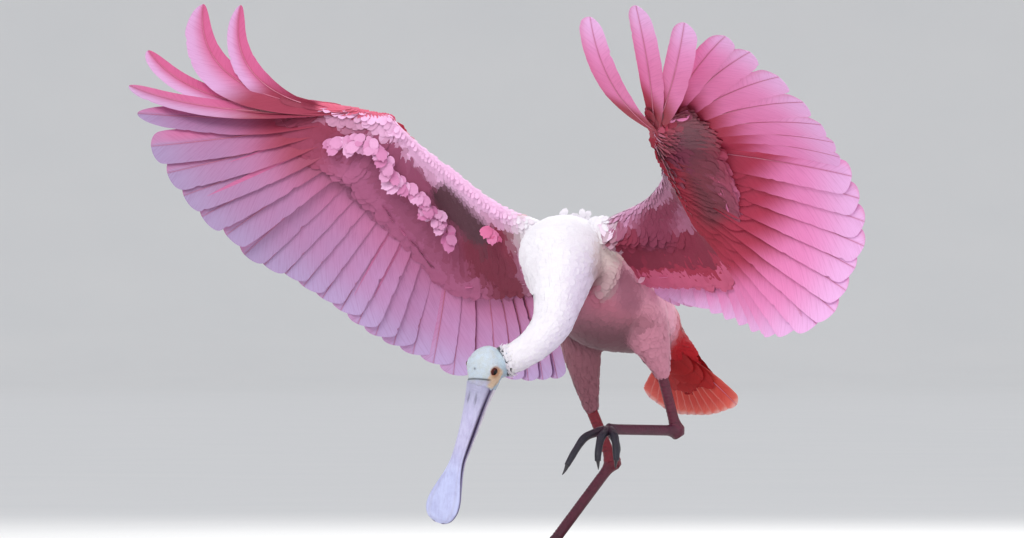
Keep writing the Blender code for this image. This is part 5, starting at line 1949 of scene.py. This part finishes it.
def lid_rim(name, above, drop, centre, axis, across, over):
    """A thick rim along one side of an eye's opening."""
    rings = []
    for turn in np.linspace(0, math.pi, LID_STEPS):
        out = across * math.cos(turn) + over * (math.sin(turn) * above)
        opening = 1.30 - drop * math.sin(turn) ** 0.8
        thick = 0.35 + 0.65 * math.sin(turn)
        ring = []
        for past, low, more in LID_SECTION:
            way = axis * math.cos(opening + past) + out * math.sin(opening + past)
            ring.append(centre + way * (EYE_RADIUS * (low + more * thick)))
        rings.append(ring)
    rim = bare_piece(name, skin_over(rings), head_finish, blend(FACE_ORANGE, (FACE_TAN, 0.35)))
    round_off = rim.modifiers.new("Round", "SUBSURF")
    round_off.levels = 1
    round_off.render_levels = 1
    return rim


eyes, lids = [], []
for name, side in (("left", 1), ("right", -1)):
    axis = unit(HEAD_LEFT * side + HEAD_UP * 0.16 + BILL_WAY * 0.12)
    sight = (head_point(*(EYE_PLACE * (1, side, 1))), axis, *square_to(axis, BILL_WAY))
    eyes.append(eyeball(name, *sight))
    lids += [lid_rim("lid_" + lid + "_" + name, above, drop, *sight) for lid, above, drop in LIDS]

# %% [markdown]
# The bill is a long flat blade that widens into a spoon. Each half is a closed form whose rings are worked
# out from one section: a gently domed outer face with a raised middle and a groove inside each edge, and a
# hollow inner face. Two dents make the nostrils, ridges cross the base, and a small nail hooks the tip.

# %% Bill
# distance, height of the top, half width, thickness, opening of the mouth, thickness of the lower half
BILL = (
    (0.0215, 0.0118, 0.0156, 0.0136, 0.0003, 0.0154),
    (0.0238, 0.0110, 0.0152, 0.0130, 0.0003, 0.0150),
    (0.0330, 0.0088, 0.0138, 0.0110, 0.0010, 0.0136),
    (0.0480, 0.0060, 0.0116, 0.0085, 0.0036, 0.0116),
    (0.0700, 0.0030, 0.0096, 0.0062, 0.0062, 0.0094),
    (0.0920, 0.0015, 0.0084, 0.0050, 0.0060, 0.0076),
    (0.1100, 0.0008, 0.0084, 0.0042, 0.0044, 0.0062),
    (0.1260, 0.0005, 0.0114, 0.0038, 0.0030, 0.0050),
    (0.1420, 0.0003, 0.0168, 0.0035, 0.0018, 0.0044),
    (0.1560, 0.0000, 0.0212, 0.0034, 0.0012, 0.0038),
    (0.1670, -0.0004, 0.0222, 0.0032, 0.0008, 0.0034),
    (0.1760, -0.0012, 0.0196, 0.0030, 0.0005, 0.0030),
    (0.1820, -0.0024, 0.0142, 0.0028, 0.0004, 0.0028),
    (0.1856, -0.0036, 0.0060, 0.0026, 0.0004, 0.0024),
)
BILL_LILAC = rgb(204, 200, 232)
BILL_BLUE = rgb(200, 206, 244)
BILL_SEAM = rgb(74, 52, 98)
BILL_SIDES = 56
MOUTH_OPEN = 0.62
RIDGES = np.arange(0.0265, 0.060, 0.0031)[:, None]


def bill_half(name, lower):
    """One half of the bill as a closed form with its paint."""
    cos, sin = np.cos(turns(BILL_SIDES)), np.sin(turns(BILL_SIDES))
    section = np.sign(cos) * np.abs(cos) ** 0.72
    outer = np.where(sin > 0, np.abs(sin) ** 0.62, 0)
    inner = np.where(sin < 0, np.abs(sin) ** 0.8, 0)
    rings, paints = [], []
    for forward, top, wide, thick, mouth, below in smooth(BILL, 12):
        spoon = step(forward, 0.115, 0.150)
        ridge = 0.10 * hill(section, 0.16) * (1 - 0.6 * spoon)
        groove = 0.13 * hill(np.abs(section) - 0.72, 0.075) * step(forward, 0.03, 0.05)
        wrinkle = hill(forward - RIDGES - 0.0016 * section**2, 0.0006).sum(axis=0)
        wrinkle = 0.045 * wrinkle * (1 - step(forward, 0.036, 0.060))
        rim = 0.10 * step(np.abs(section), 0.88, 1.0) * spoon
        face = outer * (1 + ridge - groove - wrinkle + rim)
        if lower:
            across = section * (1.08 - 0.09 * spoon)
            high = top - thick - mouth * MOUTH_OPEN - face * below + inner * min(0.35 * below, 0.0010)
            last = (
                (rgb(226, 220, 230), 0.85 * step(sin, 0.02, 0.10) * (1 - spoon)),
                # painted shade on the spoon of the lower half
                (rgb(120, 108, 156), 0.7 * spoon),
            )
        else:
            across = section
            slot = hill(np.abs(across * wide) - 0.0050 - 0.010 * (forward - 0.033), 0.0009)
            slot = slot * hill(forward - 0.0385, 0.0062) * (outer > 0)
            nail = 0.0016 * step(forward, 0.180, 0.1856) * (outer > 0)
            high = top - thick + face * thick - slot * 0.0016 + inner * min(0.30 * thick, 0.0010) - nail
            last = ((INK, 0.85 * np.minimum(slot, 1)),)
        middle = head_point(forward, 0, 0)
        rings.append(middle + np.outer(across * wide, HEAD_LEFT) + np.outer(high, HEAD_UP))
        paints.append(blend(
            BILL_GREY,
            (BILL_LILAC, step(forward, 0.030, 0.060)),
            (BILL_BLUE, step(forward, 0.085, 0.135)),
            (BILL_SEAM, 0.9 * hill(sin, 0.05 if lower else 0.24) * (1 - 0.2 * spoon)),
            (BILL_SEAM, 0.9 * (inner > 0.2)),
            (BILL_GREY, 0.4 * hill(np.abs(across) - 0.72, 0.08) * (outer > 0)),
            *last,
        ))
    ends = [paints[0].mean(axis=0), paints[-1].mean(axis=0)]
    return bare_piece(name, skin_over(rings), bill_finish, np.vstack(paints + ends))


bill_finish, tree, shader = start_material("bill_horn", 0.38, Coat_Weight=0.12, Coat_Roughness=0.3)
tint_here = own_value(tree, "tint")
place = own_place(tree)
grain = noise(tree, stretched(tree, place, (420, 420, 60), (0.22, 0.22, 0.0)), 1.0, 3.0, 0.6)
clouds = mapped(tree, noise(tree, place, 90.0, 3.0, 0.6), 0.42, 0.72, 0.0, 0.8)
tone = mixed(tree, clouds, tint_here, dimmed(tree, tint_here, (0.80, 0.78, 0.84)))
lines = mapped(tree, grain, 0.45, 0.7)
painted(tree, shader, mixed(tree, lines, tone, dimmed(tree, tone, (0.88, 0.86, 0.90))))
bumped(tree, shader, grain, 0.25, 0.0004)
bill_halves = [bill_half("bill_top", False), bill_half("bill_under", True)]

# %% [markdown]
# A wader's bare leg is a thin rod of bone in tight scaly skin. The front carries a row of broad plates, the
# rest small cells. The leg's form is a skin over close rings; each ring's size steps up at a plate's
# edge in front, and the ankle swells into a knobbly joint with creases across its bend.

# %% Legs
LEG_DARK = rgb(84, 24, 52)
TOE_DARK = rgb(34, 32, 46)
# the leg's top, its ankle, the middle of its foot, and its colour
LEGS = {
    "left": ((0.050, 0.093, 0.2185), (0.0545, 0.111, 0.1565), (0.056, -0.001, 0.1588), rgb(100, 20, 50)),
    "right": (
        (-0.040, 0.0676, 0.1795), (-0.0186, 0.0804, 0.1197), (-0.043, 0.006, 0.0265), rgb(134, 18, 40),
    ),
}
SHANK_RADIUS = 0.0056
TARSUS_RADIUS = 0.0052
ANKLE_RADIUS = 0.0088
PLATE_LENGTH = 0.0044
LEG_SIDES = 28


def leg_piece(name, *facts):
    """Shank, ankle and tarsus as one skin, with plates in front."""
    top, ankle, foot, tone = map(np.array, facts)
    upper, lower = unit(ankle - top), unit(foot - ankle)
    start = top - upper * 0.007
    path = [start, start + (ankle - start) * 0.5, ankle - upper * 0.006]
    path += [ankle, ankle + lower * 0.006, (ankle + foot) / 2, foot + lower * 0.001]
    line = along(path, np.linspace(0, 1, 230))
    lengths = lengths_of(line)
    joint = lengths[np.argmin(np.linalg.norm(line - ankle, axis=1))]
    knobs = hill(lengths - joint, 0.0085)
    sizes = SHANK_RADIUS + (TARSUS_RADIUS - SHANK_RADIUS) * step(lengths, joint - 0.01, joint + 0.01)
    sizes = sizes * 1.12 + (ANKLE_RADIUS - SHANK_RADIUS) * 1.25 * knobs
    sizes = sizes + 0.0008 * hill(lengths - lengths[-1], 0.006)
    angles = turns(LEG_SIDES)
    facing = np.cos(angles)
    rings, paints = [], []
    for spot, way, size, length, knob in zip(line, ways_of(line), sizes, lengths, knobs):
        ahead, beside = square_to(way, unit(lower - upper))
        plate = (length / PLATE_LENGTH) % 1.0
        relief = 0.00038 * (plate - 0.5) * step(facing, 0.15, 0.6) * (1 - knob)
        relief = relief - 0.00030 * hill(plate - 0.02, 0.07) * step(facing, 0.1, 0.5)
        relief = relief - 0.0006 * knob * (0.5 + 0.5 * np.cos(length * 3600)) * step(-facing, -0.2, 0.8)
        deep = size * (0.94 + 0.10 * np.abs(facing)) + 0.00030 * knob * np.cos(3 * angles) + relief
        ring = spot + np.outer(deep * facing, ahead)
        rings.append(ring + np.outer((size * 0.92 + relief) * np.sin(angles), beside))
        paints.append(blend(
            tone,
            (LEG_DARK, 0.8 * step(length, joint - 0.012, joint + 0.02)),
            (LEG_DARK * 0.7, 0.6 * hill(plate - 0.02, 0.08) * step(facing, 0.1, 0.5)),
            (TOE_DARK, 0.5 * step(length, lengths[-1] - 0.02, lengths[-1])),
        ))
    tint = np.vstack(paints + [paints[0][:1], paints[-1][:1]])
    return bare_piece("leg_" + name, skin_over(rings), leg_finish, tint)


legs = [leg_piece(name, *facts) for name, facts in LEGS.items()]

# %% [markdown]
# Each foot has three long front toes, joined at their base by small webs, and one short hind toe. A toe is
# a skin over rings like the leg, with ring plates above, pads below at its joints, and a separate dark
# claw. The hanging foot's toes curl loosely; those of the standing foot lie flat on the base.

# %% Feet
LEFT_ROOT = (0.039, -0.040, 0.1588)
RIGHT_ROOT = (-0.043, 0.006, 0.0265)
TOES = {
    "left": (
        seen(LEFT_ROOT, (0.012, -0.062, 0.150), (-0.006, -0.080, 0.124), (-0.015, -0.086, 0.107)),
        seen(LEFT_ROOT, (0.030, -0.068, 0.150), (0.026, -0.084, 0.130), (0.0264, -0.088, 0.1128)),
        seen(LEFT_ROOT, (0.045, -0.066, 0.150), (0.047, -0.080, 0.130), (0.046, -0.082, 0.114)),
        seen(LEFT_ROOT, (0.046, -0.034, 0.146), (0.048, -0.036, 0.134), (0.046, -0.040, 0.122)),
    ),
    "right": (
        (RIGHT_ROOT, (-0.047, -0.020, 0.0200), (-0.049, -0.055, 0.0192), (-0.050, -0.088, 0.0185)),
        (RIGHT_ROOT, (-0.030, -0.016, 0.0200), (-0.014, -0.038, 0.0192), (-0.003, -0.062, 0.0185)),
        (RIGHT_ROOT, (-0.062, -0.014, 0.0200), (-0.080, -0.034, 0.0192), (-0.094, -0.056, 0.0185)),
        (RIGHT_ROOT, (-0.040, 0.018, 0.0200), (-0.037, 0.032, 0.0192), (-0.035, 0.046, 0.0185)),
    ),
}
WEBBED = {"left": ((0, 1), (1, 2)), "right": ((0, 1), (0, 2))}
TOE_RADIUS = 0.0036
CLAW_RADIUS = 0.0029
CLAW_SHARE = 0.86
TOE_PLATE = 0.0027
WEB_SHARE = 0.48
WEB_HALF_THICKNESS = 0.0006
FOOT_RADIUS = 0.0060


def toe_form(points, upwards, bones):
    """One toe up to where its claw begins, with its colours."""
    line = along(points, np.linspace(0, CLAW_SHARE, 64))
    length = lengths_of(line)[-1]
    beside_share, facing = np.cos(turns(16)), np.sin(turns(16))
    rings, paints = [], []
    for share, spot, way in zip(np.linspace(0, 1, 64), line, ways_of(line)):
        above, beside = square_to(way, upwards)
        size = TOE_RADIUS * (1.66 - 0.62 * share)
        pad = sum(hill(share - (k + 0.5) / bones, 0.13) for k in range(bones))
        scale = 0.00022 * ((share * length / TOE_PLATE) % 1.0 - 0.5) * step(facing, 0.0, 0.5)
        tall = size * np.where(facing < 0, 0.80 + 0.20 * pad, 0.94) + scale
        ring = spot + np.outer(beside_share * (size * (0.92 + 0.10 * pad) + scale), beside)
        rings.append(ring + np.outer(facing * tall, above))
        redder = 0.35 * step(facing, 0.2, 0.8) + 0.5 * step(-share, -0.5, 0.0)
        paints.append(blend(TOE_DARK, (LEG_DARK, redder)))
    return skin_over(rings), np.vstack(paints + [paints[0][:1], paints[-1][:1]])


def claw_form(points, upwards):
    """The curved claw at the end of a toe."""
    line = along(points, np.linspace(CLAW_SHARE - 0.02, 1.0, 12))
    rings = []
    for share, spot, way in zip(np.linspace(0, 1, 12), line, ways_of(line)):
        above, beside = square_to(way, upwards)
        size = CLAW_RADIUS * (1 - share) ** 0.75 + 0.00025
        centre = spot + above * (0.0008 * math.sin(math.pi * share))
        rings.append(oval(centre, beside, above, size * 0.8, size, 12))
    return skin_over(rings)


def web_form(first, second):
    """The small web between two toes, from one toe to the other, with a hollow front edge."""
    rings = []
    for spread in np.linspace(0, 1, 9):
        shares = np.linspace(0.05, WEB_SHARE * (1 - 0.45 * math.sin(math.pi * spread)), 8)
        one, other = along(first, shares), along(second, shares)
        sheet = one * (1 - spread) + other * spread
        flat = unit(np.cross(other - one, (one + other) / 2 - first[0])) * WEB_HALF_THICKNESS
        rings.append(np.vstack([sheet + flat, (sheet - flat)[::-1]]))
    return skin_over(rings)


claw_finish = cloudy_finish("claws", 0.3, 300.0, rgb(24, 22, 26), rgb(58, 54, 60))
feet = []
for name, toes in TOES.items():
    toes = np.array(toes, float)
    forms, paints, claws = [], [], []
    for k, toe in enumerate(toes):
        upwards = np.array([0.0, 0.0, 1.0])
        if name == "left":
            bent = toe[2] - toe[1]
            upwards = unit(np.cross(bent, np.cross(bent, toe[1] - toe[0] + 1e-4)))
        form, paint = toe_form(toe, upwards, 2 if k == 3 else 3)
        forms.append(form)
        paints.append(paint)
        claws.append(claw_form(toe, upwards))
    webs = [web_form(toes[a], toes[b]) for a, b in WEBBED[name]]
    for form in webs + [egg(LEGS[name][2], FOOT_RADIUS, 12, 20)]:
        forms.append(form)
        paints.append(np.tile(blend(TOE_DARK, (LEG_DARK, 0.5)), (len(form[0]), 1)))
    feet.append(bare_piece("toes_" + name, joined(forms), leg_finish, np.vstack(paints)))
    feet.append(bare_piece("claws_" + name, joined(claws), claw_finish))

# %% [markdown]
# The stand is a plain turned disc. Its solid already has the right shape, so only its finish is new: dark
# stained wood with long grain, made by stretching a noise along one direction.

# %% Stand
stand_finish, tree, shader = start_material("stained_wood", 0.45, Coat_Weight=0.2, Coat_Roughness=0.25)
place = own_place(tree)
grain = noise(tree, stretched(tree, place, (140.0, 9.0, 60.0)), 1.0, 5.0, 0.62)
tone = mixed(tree, mapped(tree, grain, 0.32, 0.68), rgb(52, 34, 24), rgb(104, 70, 46))
clouds = noise(tree, place, 12.0, 3.0)
painted(tree, shader, mixed(tree, clouds, tone, dimmed(tree, tone, (0.74, 0.70, 0.68))))
bumped(tree, shader, grain, 0.2, 0.0004)
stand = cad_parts["stand_base"]
stand.data.materials.clear()
stand.data.materials.append(stand_finish)
print("stand", stand.name)

# %% [markdown]
# Last, every piece rides on the bird's one body and stands for the solids it replaces, which are hidden.

# %% Riding, replacing and finishing
for pattern in (body_feather, neck_feather, wing_feather, long_feather, tuft_feather):
    bpy.data.objects.remove(pattern)
pieces = [
    skin, head, tail, tail_shafts, *coats, *tufts, *vanes, *shafts, *eyes, *lids, *bill_halves, *legs, *feet,
]
for piece in pieces:
    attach(piece, "root")
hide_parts("torso", "neck_lower", "neck_upper", "thigh_left", "thigh_right")
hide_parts("wing_arm_left", "wing_hand_left")
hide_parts("wing_arm_right", "wing_hand_right")
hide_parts("tail")
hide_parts("head")
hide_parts("eye_left")
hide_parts("eye_right")
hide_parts("bill_upper")
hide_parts("bill_lower")
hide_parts("shank_left", "tarsus_left")
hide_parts("shank_right", "tarsus_right")
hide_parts("foot_left")
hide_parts("foot_right")
bpy.context.view_layer.update()
